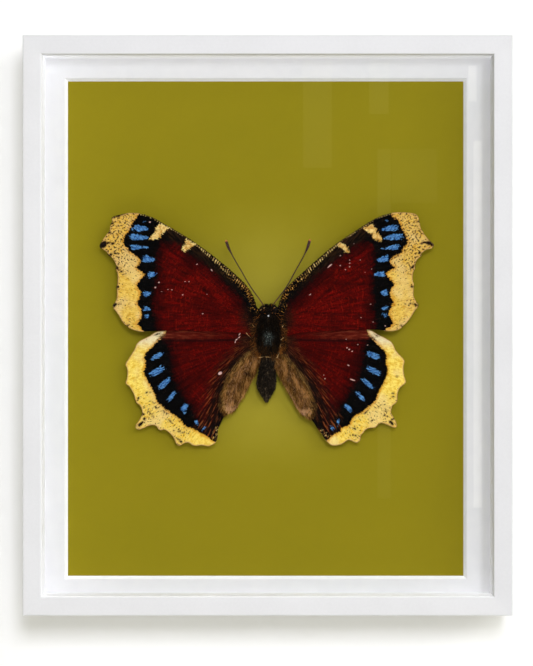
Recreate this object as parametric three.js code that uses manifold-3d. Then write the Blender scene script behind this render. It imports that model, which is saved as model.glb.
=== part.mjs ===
// A butterfly specimen, wings spread, pinned on an olive ground behind glass in a white shadow-box frame.
// Millimetres. The pieces are laid out in a plan with x to the right, y up and z off the wall towards the
// viewer. The last lines stand the plan upright, with the hanger's middle notch at the origin.
import * as THREE from "three";
import { mergeVertices } from "three/addons/utils/BufferGeometryUtils.js";
import Module from "manifold-3d";

const wasm = await Module();
wasm.setup();

// Frame, seen from the front
const frameWidth = 123.7;
const frameHeight = 146.6;
const railFace = 4.8;
const lipOverhang = 1.6;
const lipThickness = 2.6;
const edgeChamfer = 0.4;
const mitreSeam = 0.1;
const gap = 0.3;

// Layers inside the frame, from the wall to the glass
const backRecess = 2.6;
const backingThickness = 2.5;
const groundThickness = 3.0;
const matThickness = 0.8;
const spacerDepth = 7.0;
const glassThickness = 2.0;

// Window cut in the mat, a little off the frame's centre
const windowWidth = 101.6;
const windowHeight = 127.0;
const windowX = -0.5;
const windowY = -0.8;

// Specimen
const specimenX = -0.15;
const specimenY = -1.4;
const wingThickness = 0.36;
const wingRootHeight = 4.9;
const wingTipDrop = 1.3;
const wingArch = 0.35;
const wingSpan = 42.6;
const hindwingBelow = 0.75;
const tailDrop = 1.1;
const tailReach = 29;
const wingCell = 3;
const cutterReach = 12;

// Pin
const pinRadius = 0.22;
const pinX = 0.36;
const pinY = 3.85;
const pinTop = 5.9;
const pinDepth = 2.2;
const roundSides = 10;

// Hanger and the points that hold the backing
const hangerHalfLength = 19;
const hangerHeight = 7;
const hangerSheet = 0.6;
const hangerRise = 1.0;
const hangerFlatHalf = 11;
const hangerTabStart = 13;
const hangerSlant = 0.25;
const hangerY = 54;
const toothPitch = 2;
const toothHeight = 0.9;
const toothCount = 9;
const nailX = 16;
const nailRadius = 0.5;
const nailHeadRadius = 1.5;
const nailHeadThickness = 0.5;
const nailDepth = 2.0;
const nailPoint = 1.0;
const pointWidth = 4;
const pointLength = 9;
const pointDriven = 2;
const pointSheet = 0.5;
const pointCorner = 1.0;
const pointOffset = 35;

const backingZ = backRecess;
const groundZ = backingZ + backingThickness + gap;
const groundFaceZ = groundZ + groundThickness;
const matZ = groundFaceZ + gap;
const spacerZ = matZ + matThickness + gap;
const glassZ = spacerZ + spacerDepth + gap;
const lipZ = glassZ + glassThickness + gap;
const frameDepth = lipZ + lipThickness;
const railBody = railFace - lipOverhang;
const layerWidth = frameWidth - 2 * railBody - 2 * gap;
const layerHeight = frameHeight - 2 * railBody - 2 * gap;
const spacerWidth = lipOverhang - gap;
const hookHeight = hangerY - hangerHeight / 2 + toothHeight;

function material(colour, roughness, metalness = 0) {
  return new THREE.MeshStandardMaterial({ color: colour, roughness, metalness });
}

const whitePaint = material(0xeeeeec, 0.45);
const whiteBoard = material(0xecebe8, 0.85);
const oliveCard = material(0x918527, 0.9);
const clearGlass = new THREE.MeshStandardMaterial({
  color: 0xe4efec, roughness: 0.05, transparent: true, opacity: 0.25 });
const brownBoard = material(0x8a6a48, 0.9);
const steel = material(0x9b9ea2, 0.35, 1);
const brassPlate = material(0xb4924c, 0.35, 1);
const wingScales = material(0x5a0a06, 0.7);
const bodyHair = material(0x1c130c, 0.9);
const antennaHorn = material(0x2c1c1e, 0.5);

// A closed three.js geometry as a solid that can be joined and cut, and back again
function toSolid(geometry) {
  const bare = geometry.clone();
  bare.deleteAttribute("normal");
  bare.deleteAttribute("uv");
  const merged = mergeVertices(bare, 1e-4);
  return new wasm.Manifold(new wasm.Mesh({
    numProp: 3,
    vertProperties: new Float32Array(merged.attributes.position.array),
    triVerts: new Uint32Array(merged.index.array),
  }));
}

function toGeometry(solid) {
  const mesh = solid.getMesh();
  const geometry = new THREE.BufferGeometry();
  geometry.setAttribute("position", new THREE.BufferAttribute(mesh.vertProperties, 3));
  geometry.setIndex(new THREE.BufferAttribute(mesh.triVerts, 1));
  geometry.computeVertexNormals();
  return geometry;
}

function piece(name, geometry, look) {
  const mesh = new THREE.Mesh(geometry, look);
  mesh.name = name;
  return mesh;
}

function outline(points) {
  return new THREE.Shape(points.map(([x, y]) => new THREE.Vector2(x, y)));
}

function prism(points, depth) {
  return new THREE.ExtrudeGeometry(outline(points), { depth, bevelEnabled: false });
}

// Frame rails. The section is drawn with x from the outer side inwards and y off the wall, and the rail is
// then turned to run along y, with its outer side on x = 0 and both ends cut at 45 degrees.
function railSolid(length) {
  const section = [
    [0, 0], [railBody, 0], [railBody, lipZ], [railFace, lipZ], [railFace, frameDepth - edgeChamfer],
    [railFace - edgeChamfer, frameDepth], [edgeChamfer, frameDepth], [0, frameDepth - edgeChamfer]];
  const geometry = prism(section, length);
  const position = geometry.attributes.position;
  for (let i = 0; i < position.count; i++) {
    const mitre = position.getX(i) + mitreSeam / 2;
    position.setZ(i, position.getZ(i) < length / 2 ? mitre : length - mitre);
  }
  geometry.rotateX(Math.PI / 2);
  geometry.translate(0, length / 2, 0);
  let rail = toSolid(geometry);
  for (const side of [-1, 1]) {
    const slot = new THREE.BoxGeometry(2 * (pointDriven + gap), pointWidth + 2 * gap, pointSheet + 2 * gap);
    slot.translate(railBody, side * pointOffset, backRecess - gap - pointSheet / 2);
    rail = rail.subtract(toSolid(slot));
  }
  return rail;
}

// A point is a flat steel tab whose sharp end is driven into the rail behind the backing board.
function pointGeometry() {
  const tipX = railBody - pointDriven;
  const endX = tipX + pointLength;
  const half = pointWidth / 2;
  const geometry = prism([
    [tipX, 0], [tipX + half, -half], [endX - pointCorner, -half], [endX, pointCorner - half],
    [endX, half - pointCorner], [endX - pointCorner, half], [tipX + half, half]], pointSheet);
  geometry.translate(0, 0, backRecess - gap - pointSheet);
  return geometry;
}

function frameRails() {
  const rails = new THREE.Group();
  const sides = [
    { name: "left", x: -frameWidth / 2, y: 0, turn: 0, length: frameHeight },
    { name: "bottom", x: 0, y: -frameHeight / 2, turn: 1, length: frameWidth },
    { name: "right", x: frameWidth / 2, y: 0, turn: 2, length: frameHeight },
    { name: "top", x: 0, y: frameHeight / 2, turn: 3, length: frameWidth }];
  for (const side of sides) {
    const holder = new THREE.Group();
    holder.position.set(side.x, side.y, 0);
    holder.rotation.z = side.turn * Math.PI / 2;
    holder.add(piece(`frame_rail_${side.name}`, toGeometry(railSolid(side.length)), whitePaint));
    [-1, 1].forEach((along, index) => {
      const point = piece(`point_${side.name}_${index + 1}`, pointGeometry(), steel);
      point.position.y = along * pointOffset;
      holder.add(point);
    });
    rails.add(holder);
  }
  return rails;
}

function layer(name, thickness, z, look) {
  const sheet = piece(name, new THREE.BoxGeometry(layerWidth, layerHeight, thickness), look);
  sheet.position.z = z + thickness / 2;
  return sheet;
}

// A round cutter along z, with the play that a pin or a nail has in its hole
function drill(radius, length, x, y, z) {
  const hole = new THREE.CylinderGeometry(radius + gap, radius + gap, length, roundSides);
  hole.rotateX(Math.PI / 2);
  hole.translate(x, y, z);
  return toSolid(hole);
}

// The backing board has a hole for each of the hanger's nails.
function backingBoard() {
  let board = toSolid(new THREE.BoxGeometry(layerWidth, layerHeight, backingThickness));
  for (const side of [-1, 1]) {
    const hole = drill(nailRadius, 2 * (nailDepth + gap), side * nailX, hangerY, -backingThickness / 2);
    board = board.subtract(hole);
  }
  const sheet = piece("backing_board", toGeometry(board), brownBoard);
  sheet.position.z = backingZ + backingThickness / 2;
  return sheet;
}

// The ground is a foam-cored board with an olive face, pricked by the specimen's pin.
function groundBoard() {
  const board = toSolid(new THREE.BoxGeometry(layerWidth, layerHeight, groundThickness));
  const pinPlaceX = specimenX + pinX;
  const pinPlaceY = specimenY + pinY;
  const prick = drill(pinRadius, 2 * (pinDepth + gap), pinPlaceX, pinPlaceY, groundThickness / 2);
  const sheet = piece("ground_board", toGeometry(board.subtract(prick)), oliveCard);
  sheet.position.z = groundZ + groundThickness / 2;
  return sheet;
}

// The mat's window has a bevel cut at 45 degrees, wider towards the viewer.
function matBoard() {
  const board = new THREE.BoxGeometry(layerWidth, layerHeight, matThickness);
  const cutter = new THREE.BoxGeometry(windowWidth, windowHeight, 3 * matThickness);
  const position = cutter.attributes.position;
  for (let i = 0; i < position.count; i++) {
    const spread = position.getZ(i) + matThickness / 2;
    position.setX(i, position.getX(i) + Math.sign(position.getX(i)) * spread + windowX);
    position.setY(i, position.getY(i) + Math.sign(position.getY(i)) * spread + windowY);
  }
  const sheet = piece("mat_board", toGeometry(toSolid(board).subtract(toSolid(cutter))), whiteBoard);
  sheet.position.z = matZ + matThickness / 2;
  return sheet;
}

// Four strips stand between the mat and the glass, flush with the frame's lip.
function spacers() {
  const strips = new THREE.Group();
  const sideLength = layerHeight - 2 * spacerWidth - 2 * gap;
  const strip = (name, width, height, x, y) => {
    const mesh = piece(name, new THREE.BoxGeometry(width, height, spacerDepth), whiteBoard);
    mesh.position.set(x, y, spacerZ + spacerDepth / 2);
    strips.add(mesh);
  };
  const acrossX = (layerWidth - spacerWidth) / 2;
  const acrossY = (layerHeight - spacerWidth) / 2;
  strip("spacer_left", spacerWidth, sideLength, -acrossX, 0);
  strip("spacer_right", spacerWidth, sideLength, acrossX, 0);
  strip("spacer_bottom", layerWidth, spacerWidth, 0, -acrossY);
  strip("spacer_top", layerWidth, spacerWidth, 0, acrossY);
  return strips;
}

// The hanger is a sheet-metal strip, raised in the middle, with saw teeth along its lower edge there.
function hanger() {
  const tabZ = backRecess - gap;
  const flatZ = tabZ - hangerRise;
  const side = [
    [-hangerHalfLength, tabZ], [-hangerTabStart, tabZ], [-hangerFlatHalf, flatZ], [hangerFlatHalf, flatZ],
    [hangerTabStart, tabZ], [hangerHalfLength, tabZ], [hangerHalfLength, tabZ - hangerSheet],
    [hangerTabStart + hangerSlant, tabZ - hangerSheet], [hangerFlatHalf + hangerSlant, flatZ - hangerSheet],
    [-hangerFlatHalf - hangerSlant, flatZ - hangerSheet],
    [-hangerTabStart - hangerSlant, tabZ - hangerSheet],
    [-hangerHalfLength, tabZ - hangerSheet]];
  const strip = prism(side, hangerHeight);
  strip.rotateX(Math.PI / 2);
  strip.translate(0, hangerHeight / 2, 0);
  const face = [[-hangerHalfLength, hangerHeight / 2], [-hangerHalfLength, -hangerHeight / 2]];
  const teethStart = -toothPitch * toothCount / 2;
  for (let tooth = 0; tooth < toothCount; tooth++) {
    const x = teethStart + tooth * toothPitch;
    face.push([x, -hangerHeight / 2], [x + toothPitch / 2, toothHeight - hangerHeight / 2]);
  }
  face.push([-teethStart, -hangerHeight / 2], [hangerHalfLength, -hangerHeight / 2]);
  face.push([hangerHalfLength, hangerHeight / 2]);
  let plate = toSolid(strip).intersect(toSolid(prism(face, backRecess)));
  const headZ = tabZ - hangerSheet - gap;
  const nailLength = backRecess - headZ + nailHeadThickness + nailDepth;
  const nailProfile = [
    [0, 0], [nailHeadRadius, 0], [nailHeadRadius, nailHeadThickness], [nailRadius, nailHeadThickness],
    [nailRadius, nailLength - nailPoint], [0, nailLength]];
  const parts = new THREE.Group();
  [-1, 1].forEach((sideSign, index) => {
    plate = plate.subtract(drill(nailRadius, 2 * backRecess, sideSign * nailX, 0, 0));
    const nail = piece(`hanger_nail_${index + 1}`, new THREE.LatheGeometry(
      nailProfile.map(([x, y]) => new THREE.Vector2(x, y)), roundSides), steel);
    nail.geometry.rotateX(Math.PI / 2);
    nail.position.set(sideSign * nailX, hangerY, headZ - nailHeadThickness);
    parts.add(nail);
  });
  const plateMesh = piece("sawtooth_hanger", toGeometry(plate), brassPlate);
  plateMesh.position.y = hangerY;
  parts.add(plateMesh);
  return parts;
}

// Wing outlines, from the costa's root along the front edge, round the tip and back, as seen from the front.
const foreOutlines = {
  left: [
    [-2.0, 4.9], [-2.6, 6.1], [-3.1, 7.6], [-3.7, 9.2], [-4.6, 10.7], [-6.0, 12.4], [-8.0, 14.3],
    [-10.0, 16.1], [-12.0, 17.7], [-14.0, 19.3], [-16.0, 20.8], [-18.0, 22.2], [-20.0, 23.6], [-22.0, 24.7],
    [-24.0, 25.9], [-26.0, 27.0], [-28.0, 28.2], [-30.0, 29.2], [-31.8, 29.8], [-33.5, 30.0], [-35.5, 30.0],
    [-37.5, 29.6], [-39.6, 28.9], [-39.4, 28.1], [-39.9, 27.2], [-40.0, 26.0], [-40.6, 25.0], [-41.4, 23.9],
    [-42.2, 22.8], [-42.7, 21.9], [-42.4, 21.1], [-41.6, 20.8], [-40.8, 20.2], [-40.4, 19.4], [-39.6, 18.9],
    [-38.8, 17.8], [-38.4, 16.6], [-38.6, 15.8], [-38.1, 15.0], [-38.0, 13.2], [-38.1, 12.0], [-38.4, 11.2],
    [-38.2, 10.3], [-38.2, 8.8], [-38.5, 7.6], [-39.3, 6.6], [-39.2, 6.0], [-38.4, 5.0], [-37.6, 3.8],
    [-36.8, 2.4], [-35.8, 1.3], [-34.4, 0.5], [-32.6, 0.0], [-30.6, -0.1], [-28.0, 0.0], [-24.0, 0.1],
    [-18.0, 0.0], [-12.0, -0.2], [-7.0, -0.5], [-2.0, -1.2]],
  right: [
    [2.7, 4.9], [3.0, 6.8], [3.4, 7.9], [3.8, 9.0], [4.4, 10.2], [5.4, 11.4], [6.6, 12.6], [8.0, 13.9],
    [10.0, 15.7], [12.0, 17.5], [14.0, 19.2], [16.0, 20.9], [18.0, 22.4], [20.0, 23.8], [22.0, 25.0],
    [24.0, 26.3], [26.0, 27.6], [28.0, 28.8], [30.0, 29.6], [31.6, 30.0], [34.0, 30.2], [36.0, 30.1],
    [37.5, 29.9], [38.2, 29.5], [38.7, 28.6], [38.9, 27.4], [39.1, 26.4], [39.7, 25.4], [40.2, 24.5],
    [40.9, 23.6], [41.7, 22.9], [42.5, 22.1], [42.5, 21.6], [42.0, 21.2], [41.0, 21.0], [40.2, 20.6],
    [39.5, 19.9], [39.2, 19.2], [38.7, 18.7], [38.1, 18.1], [37.8, 17.2], [37.8, 16.2], [37.4, 15.4],
    [37.1, 14.2], [37.1, 12.9], [37.4, 12.0], [37.4, 11.0], [37.3, 10.0], [37.3, 9.0], [37.6, 8.2],
    [38.0, 7.4], [38.6, 6.8], [38.5, 6.2], [37.9, 5.6], [37.4, 4.8], [36.8, 3.8], [36.0, 2.7], [35.2, 1.8],
    [34.4, 1.0], [33.4, 0.4], [32.2, 0.1], [30.6, 0.1], [28.5, 0.3], [25.8, 0.4], [20.0, 0.2], [14.0, -0.1],
    [8.0, -0.5], [2.8, -1.2]]};
const hindOutlines = {
  left: [
    [-2.4, 1.6], [-6.0, 3.0], [-12.0, 3.8], [-18.0, 3.4], [-23.0, 1.8], [-26.2, 0.1], [-27.6, -0.1],
    [-28.6, -0.5], [-29.8, -1.3], [-31.2, -2.0], [-32.4, -2.6], [-33.2, -3.4], [-33.7, -4.6], [-34.4, -5.8],
    [-35.2, -7.0], [-35.8, -7.9], [-36.1, -8.6], [-35.7, -9.6], [-35.6, -11.2], [-35.8, -12.4],
    [-36.0, -13.4], [-35.2, -14.1], [-34.5, -15.1], [-33.9, -16.3], [-33.6, -17.5], [-33.2, -18.4],
    [-32.5, -18.9], [-32.0, -19.8], [-31.8, -20.8], [-32.1, -21.9], [-32.7, -23.0], [-33.4, -24.0],
    [-33.5, -24.7], [-33.0, -25.1], [-32.0, -24.9], [-30.9, -24.4], [-29.8, -24.0], [-28.8, -24.0],
    [-28.1, -24.4], [-27.6, -25.1], [-27.2, -25.3], [-26.4, -25.1], [-25.5, -25.5], [-24.7, -26.2],
    [-23.9, -27.0], [-23.5, -27.8], [-23.2, -28.6], [-22.6, -29.2], [-21.9, -29.0], [-21.2, -28.6],
    [-20.4, -28.4], [-19.7, -28.6], [-19.0, -29.1], [-18.2, -29.3], [-17.0, -29.1], [-16.0, -29.2],
    [-15.1, -29.4], [-14.2, -29.1], [-13.4, -28.6], [-12.8, -27.8], [-12.6, -26.6], [-12.5, -25.2],
    [-12.0, -24.0], [-11.5, -23.0], [-11.1, -22.1], [-10.4, -21.5], [-9.2, -20.9], [-8.2, -20.2],
    [-7.5, -19.3], [-7.0, -18.2], [-6.2, -17.0], [-5.5, -15.9], [-4.8, -14.6], [-4.0, -13.0], [-3.4, -11.8],
    [-2.8, -10.6], [-2.4, -9.4], [-1.8, -7.6], [-1.8, -2.0]],
  right: [
    [3.2, 1.6], [6.0, 3.0], [12.0, 3.8], [18.0, 3.4], [23.0, 1.8], [25.6, 0.3], [26.4, 0.1], [27.5, -0.5],
    [29.0, -1.3], [30.5, -2.1], [31.6, -2.8], [32.2, -3.6], [32.7, -4.8], [33.5, -5.9], [34.3, -6.7],
    [34.9, -7.4], [35.0, -8.0], [34.8, -9.0], [34.8, -10.4], [35.0, -11.6], [35.3, -12.5], [35.4, -13.1],
    [34.7, -13.8], [33.9, -14.5], [33.4, -15.5], [33.2, -16.8], [33.2, -17.9], [32.7, -18.5], [32.0, -19.1],
    [31.7, -20.1], [31.6, -20.9], [32.0, -21.7], [32.5, -22.5], [32.9, -23.4], [33.1, -24.2], [32.8, -24.6],
    [31.9, -24.4], [31.2, -24.0], [30.3, -23.7], [29.3, -23.4], [28.6, -23.6], [28.1, -24.1], [27.6, -24.6],
    [26.8, -24.7], [25.9, -24.8], [25.1, -25.2], [24.5, -26.0], [23.9, -26.7], [23.8, -27.4], [23.6, -28.0],
    [23.0, -28.5], [22.3, -28.3], [21.5, -27.9], [20.8, -27.8], [20.0, -28.2], [19.2, -28.8], [18.2, -29.1],
    [17.2, -29.2], [16.3, -29.0], [15.6, -28.4], [15.0, -27.8], [14.5, -27.2], [14.0, -26.4], [13.3, -25.5],
    [12.6, -24.5], [11.9, -23.4], [11.3, -22.7], [10.4, -22.1], [9.5, -21.7], [8.8, -21.2], [8.2, -20.4],
    [7.5, -19.7], [7.0, -18.5], [6.3, -17.3], [5.7, -16.2], [5.0, -15.0], [4.3, -13.8], [3.5, -12.3],
    [2.9, -11.2], [2.4, -10.0], [1.8, -8.2], [2.2, -2.0]]};

// Height of each wing's middle above the ground: arched along its length and drooping to its tip.
function foreHeight(x) {
  const along = Math.abs(x) / wingSpan;
  return wingRootHeight - wingTipDrop * along ** 2 + wingArch * Math.sin(Math.PI * along);
}

function hindHeight(x, y) {
  return foreHeight(x) - hindwingBelow - tailDrop * Math.max(0, -y / tailReach) ** 1.5;
}

// A wing is a thin curved slab, cut to its outline and kept clear of the body.
function wingGeometry(points, height, bodyRoom) {
  const xs = points.map(([x]) => x);
  const ys = points.map(([, y]) => y);
  const low = [Math.min(...xs) - 1, Math.min(...ys) - 1];
  const size = [Math.max(...xs) + 1 - low[0], Math.max(...ys) + 1 - low[1]];
  const cells = size.map((length) => Math.round(length / wingCell));
  const slab = new THREE.BoxGeometry(size[0], size[1], wingThickness, cells[0], cells[1], 1);
  slab.translate(low[0] + size[0] / 2, low[1] + size[1] / 2, 0);
  const position = slab.attributes.position;
  for (let i = 0; i < position.count; i++) {
    position.setZ(i, position.getZ(i) + height(position.getX(i), position.getY(i)));
  }
  return toGeometry(toSolid(slab).intersect(toSolid(prism(points, cutterReach))).subtract(bodyRoom));
}

// Head, thorax and abdomen as one turned form: radius and place along the body, from the tail to the head.
const bodyProfile = [
  [0, -18.1], [0.9, -17.2], [1.75, -16.0], [2.25, -15.0], [2.45, -14.0], [2.5, -13.0], [2.35, -12.0],
  [2.15, -10.4], [2.1, -8.8], [2.15, -7.6], [2.05, -6.9], [2.6, -6.2], [3.1, -5.0], [3.4, -3.2], [3.5, -1.0],
  [3.4, 1.4], [3.0, 3.0], [2.3, 4.0], [1.95, 4.4], [2.1, 5.0], [2.1, 5.6], [1.6, 6.2],
  [0.8, 6.5], [0, 6.55]];
const bodyX = 0.42;
const bodyHeight = 3.6;
const waistY = -5;
const leanLength = 8;
const tailLean = 0.6;
const bodyTailDrop = 0.7;
const bodyFlatness = 0.72;
const bodySegments = 18;
const ballColumns = 12;
const ballRows = 8;
const tubeSides = 6;
const eye = { radius: 1.1, apart: 1.45, y: 5.35 };
const palp = { radius: 0.45, apart: 0.5, y: 6.45, below: 0.3 };

// Sideways place and height of the body's middle: straight to the waist, then leaning to the tail.
function bodyMiddle(y) {
  const tailward = Math.min(1, Math.max(0, (waistY - y) / leanLength));
  return { x: bodyX - tailLean * tailward, z: bodyHeight - bodyTailDrop * tailward };
}

function bodyForm(grow) {
  const last = bodyProfile.length - 1;
  const profile = bodyProfile.map(([radius, y], index) => {
    if (index === 0) return new THREE.Vector2(0, y - grow);
    if (index === last) return new THREE.Vector2(0, y + grow);
    return new THREE.Vector2(radius + grow, y);
  });
  const geometry = new THREE.LatheGeometry(profile, bodySegments);
  const position = geometry.attributes.position;
  for (let i = 0; i < position.count; i++) {
    const middle = bodyMiddle(position.getY(i));
    position.setX(i, position.getX(i) + middle.x);
    position.setZ(i, position.getZ(i) * bodyFlatness + middle.z);
  }
  return toSolid(geometry);
}

function ball(radius, x, y, z) {
  const geometry = new THREE.SphereGeometry(radius, ballColumns, ballRows);
  geometry.translate(x, y, z);
  return toSolid(geometry);
}

function tube(points, radius, steps) {
  const curve = new THREE.CatmullRomCurve3(points.map(([x, y, z]) => new THREE.Vector3(x, y, z)));
  const section = new THREE.Shape();
  for (let side = 0; side < tubeSides; side++) {
    const angle = 2 * Math.PI * side / tubeSides;
    const corner = [radius * Math.cos(angle), radius * Math.sin(angle)];
    if (side === 0) section.moveTo(...corner);
    else section.lineTo(...corner);
  }
  section.closePath();
  return toSolid(new THREE.ExtrudeGeometry(section, { steps, bevelEnabled: false, extrudePath: curve }));
}

// The four walking legs are folded under the thorax, and fused to it.
const legRadius = 0.2;
const legSteps = 8;

function legs() {
  const middle = [[1.0, 0.4, 2.2], [2.6, 1.0, 1.5], [3.3, 0.2, 1.2], [2.4, -2.4, 0.9], [1.7, -5.2, 0.7]];
  const hind = [[0.8, -2.2, 2.0], [2.0, -3.0, 1.3], [2.7, -4.6, 1.1], [1.8, -7.2, 0.75], [1.0, -10.0, 0.55]];
  const solids = [];
  for (const side of [-1, 1]) {
    for (const leg of [middle, hind]) {
      solids.push(tube(leg.map(([x, y, z]) => [bodyX + side * x, y, z]), legRadius, legSteps));
    }
  }
  return solids;
}

function bodyGeometry() {
  let body = bodyForm(0);
  for (const side of [-1, 1]) {
    body = body.add(ball(eye.radius, bodyX + side * eye.apart, eye.y, bodyHeight));
    body = body.add(ball(palp.radius, bodyX + side * palp.apart, palp.y, bodyHeight - palp.below));
  }
  for (const leg of legs()) body = body.add(leg);
  return toGeometry(body.subtract(drill(pinRadius, 2 * cutterReach, pinX, pinY, 0)));
}

// Antennae: a fine shaft rising from the head over the front edge of the wing, with a long club at its tip.
const antennaRoutes = {
  left: [
    [-1.3, 7.2, 4.2], [-2.6, 9.0, 5.1], [-3.9, 10.8, 5.7], [-5.2, 12.9, 5.9], [-6.5, 15.2, 6.0],
    [-7.8, 17.4, 6.1], [-8.9, 19.4, 6.1], [-9.8, 21.2, 6.1], [-10.5, 23.0, 6.0]],
  right: [
    [1.9, 7.2, 4.2], [3.0, 8.6, 5.1], [4.1, 10.0, 5.7], [5.5, 12.1, 5.9], [6.9, 14.7, 6.0],
    [8.2, 17.0, 6.1], [9.4, 19.2, 6.1], [10.3, 21.2, 6.1], [11.0, 23.2, 6.0]]};
const antennaRadius = 0.16;
const antennaSteps = 16;
const clubRadius = 0.36;
const clubLength = 3.4;
const clubPastRoute = 0.3;
const clubRows = 8;

function antennaGeometry(route) {
  const tip = new THREE.Vector3(...route[route.length - 1]);
  const before = new THREE.Vector3(...route[route.length - 2]);
  const direction = tip.clone().sub(before).normalize();
  const club = new THREE.SphereGeometry(1, clubRows, clubRows);
  club.scale(clubRadius, clubLength / 2, clubRadius);
  club.applyQuaternion(new THREE.Quaternion().setFromUnitVectors(new THREE.Vector3(0, 1, 0), direction));
  const centre = tip.clone().addScaledVector(direction, clubPastRoute - clubLength / 2);
  club.translate(centre.x, centre.y, centre.z);
  return toGeometry(tube(route, antennaRadius, antennaSteps).add(toSolid(club)));
}

function specimen() {
  const butterfly = new THREE.Group();
  butterfly.position.set(specimenX, specimenY, groundFaceZ);
  const bodyRoom = bodyForm(gap);
  for (const side of ["left", "right"]) {
    const forewing = wingGeometry(foreOutlines[side], foreHeight, bodyRoom);
    const hindwing = wingGeometry(hindOutlines[side], hindHeight, bodyRoom);
    butterfly.add(piece(`forewing_${side}`, forewing, wingScales));
    butterfly.add(piece(`hindwing_${side}`, hindwing, wingScales));
    butterfly.add(piece(`antenna_${side}`, antennaGeometry(antennaRoutes[side]), antennaHorn));
  }
  butterfly.add(piece("body", bodyGeometry(), bodyHair));
  const shaft = new THREE.CylinderGeometry(pinRadius, pinRadius, pinTop + pinDepth, roundSides);
  const pin = piece("mount_pin", shaft, steel);
  pin.rotation.x = Math.PI / 2;
  pin.position.set(pinX, pinY, (pinTop - pinDepth) / 2);
  butterfly.add(pin);
  return butterfly;
}

const plan = new THREE.Group();
plan.add(frameRails());
plan.add(layer("glass_pane", glassThickness, glassZ, clearGlass));
plan.add(spacers());
plan.add(matBoard());
plan.add(groundBoard());
plan.add(backingBoard());
plan.add(hanger());
plan.add(specimen());
plan.rotation.x = Math.PI / 2;
plan.position.z = -hookHeight;

const framedSpecimen = new THREE.Group();
framedSpecimen.add(plan);

export default framedSpecimen;
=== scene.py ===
import math
import random

import bmesh
import bpy
import numpy as np
from mathutils import Matrix, Vector, noise


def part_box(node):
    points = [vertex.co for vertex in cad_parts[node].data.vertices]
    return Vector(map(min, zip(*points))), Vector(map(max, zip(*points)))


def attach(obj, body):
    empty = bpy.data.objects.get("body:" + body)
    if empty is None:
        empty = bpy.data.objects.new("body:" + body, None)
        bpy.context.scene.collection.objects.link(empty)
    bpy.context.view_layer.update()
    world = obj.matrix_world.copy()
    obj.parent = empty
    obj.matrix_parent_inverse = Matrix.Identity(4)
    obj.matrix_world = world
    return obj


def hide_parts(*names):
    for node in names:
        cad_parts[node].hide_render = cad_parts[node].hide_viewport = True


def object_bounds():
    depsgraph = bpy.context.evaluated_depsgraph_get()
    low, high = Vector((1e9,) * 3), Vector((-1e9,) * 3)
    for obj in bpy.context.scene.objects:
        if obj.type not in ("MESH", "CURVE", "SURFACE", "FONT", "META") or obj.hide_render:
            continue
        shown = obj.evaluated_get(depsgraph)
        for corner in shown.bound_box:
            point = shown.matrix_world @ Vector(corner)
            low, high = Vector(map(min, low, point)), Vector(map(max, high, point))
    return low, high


# A spread butterfly on an olive ground behind glass, in a white shadow-box frame on a wall.
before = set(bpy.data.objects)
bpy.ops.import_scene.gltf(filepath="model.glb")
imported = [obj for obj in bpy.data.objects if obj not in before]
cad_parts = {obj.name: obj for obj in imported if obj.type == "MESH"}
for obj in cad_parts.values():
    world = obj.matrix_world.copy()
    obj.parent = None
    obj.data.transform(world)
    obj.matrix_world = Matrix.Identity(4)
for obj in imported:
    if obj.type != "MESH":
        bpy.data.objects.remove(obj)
cadLow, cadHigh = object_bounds()
scene = bpy.context.scene
print("frame loaded:", len(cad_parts), "nodes")

# The plan has x to the right, y up and z off the wall, in millimetres from the frame's centre on the wall.
mm = 0.001
centreHeight = (cadLow.z + cadHigh.z) / 2
toWorld = Matrix(((mm, 0, 0, 0), (0, 0, -mm, 0), (0, mm, 0, centreHeight), (0, 0, 0, 1)))
groundLevel = -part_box("ground_board")[0].y / mm
specimenAt = (-0.15, -1.4)
onGround = toWorld @ Matrix.Translation((*specimenAt, groundLevel))
dice = random.Random(7)


def planBox(node):  # a CAD node's lowest and highest corner in the plan
    low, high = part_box(node)
    lowest = Vector((low.x / mm, (low.z - centreHeight) / mm, -high.y / mm))
    return lowest, Vector((high.x / mm, (high.z - centreHeight) / mm, -low.y / mm))


# Making pieces
def finishPiece(name, bm, place, material, replaced=(), crease=40):
    bmesh.ops.transform(bm, matrix=place, verts=bm.verts)
    mesh = bpy.data.meshes.new(name)
    bm.to_mesh(mesh)
    bm.free()
    return finishMesh(name, mesh, material, replaced, crease)


def finishMesh(name, mesh, material, replaced=(), crease=40):
    mesh.polygons.foreach_set("use_smooth", [True] * len(mesh.polygons))
    if crease:
        mesh.set_sharp_from_angle(angle=math.radians(crease))
    mesh.materials.append(material)
    piece = bpy.data.objects.new(name, mesh)
    scene.collection.objects.link(piece)
    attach(piece, "root")
    if replaced:
        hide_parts(*replaced)
    return piece


def softBox(bm, low, high, softness, segments=2):  # a block with rounded edges
    verts = bmesh.ops.create_cube(bm, size=1)["verts"]
    bmesh.ops.scale(bm, vec=[b - a for a, b in zip(low, high)], verts=verts)
    bmesh.ops.translate(bm, vec=[(a + b) / 2 for a, b in zip(low, high)], verts=verts)
    edges = list({edge for vert in verts for edge in vert.link_edges})
    bmesh.ops.bevel(bm, geom=edges, offset=softness, segments=segments, profile=0.5, affect="EDGES", material=-1)


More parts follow.
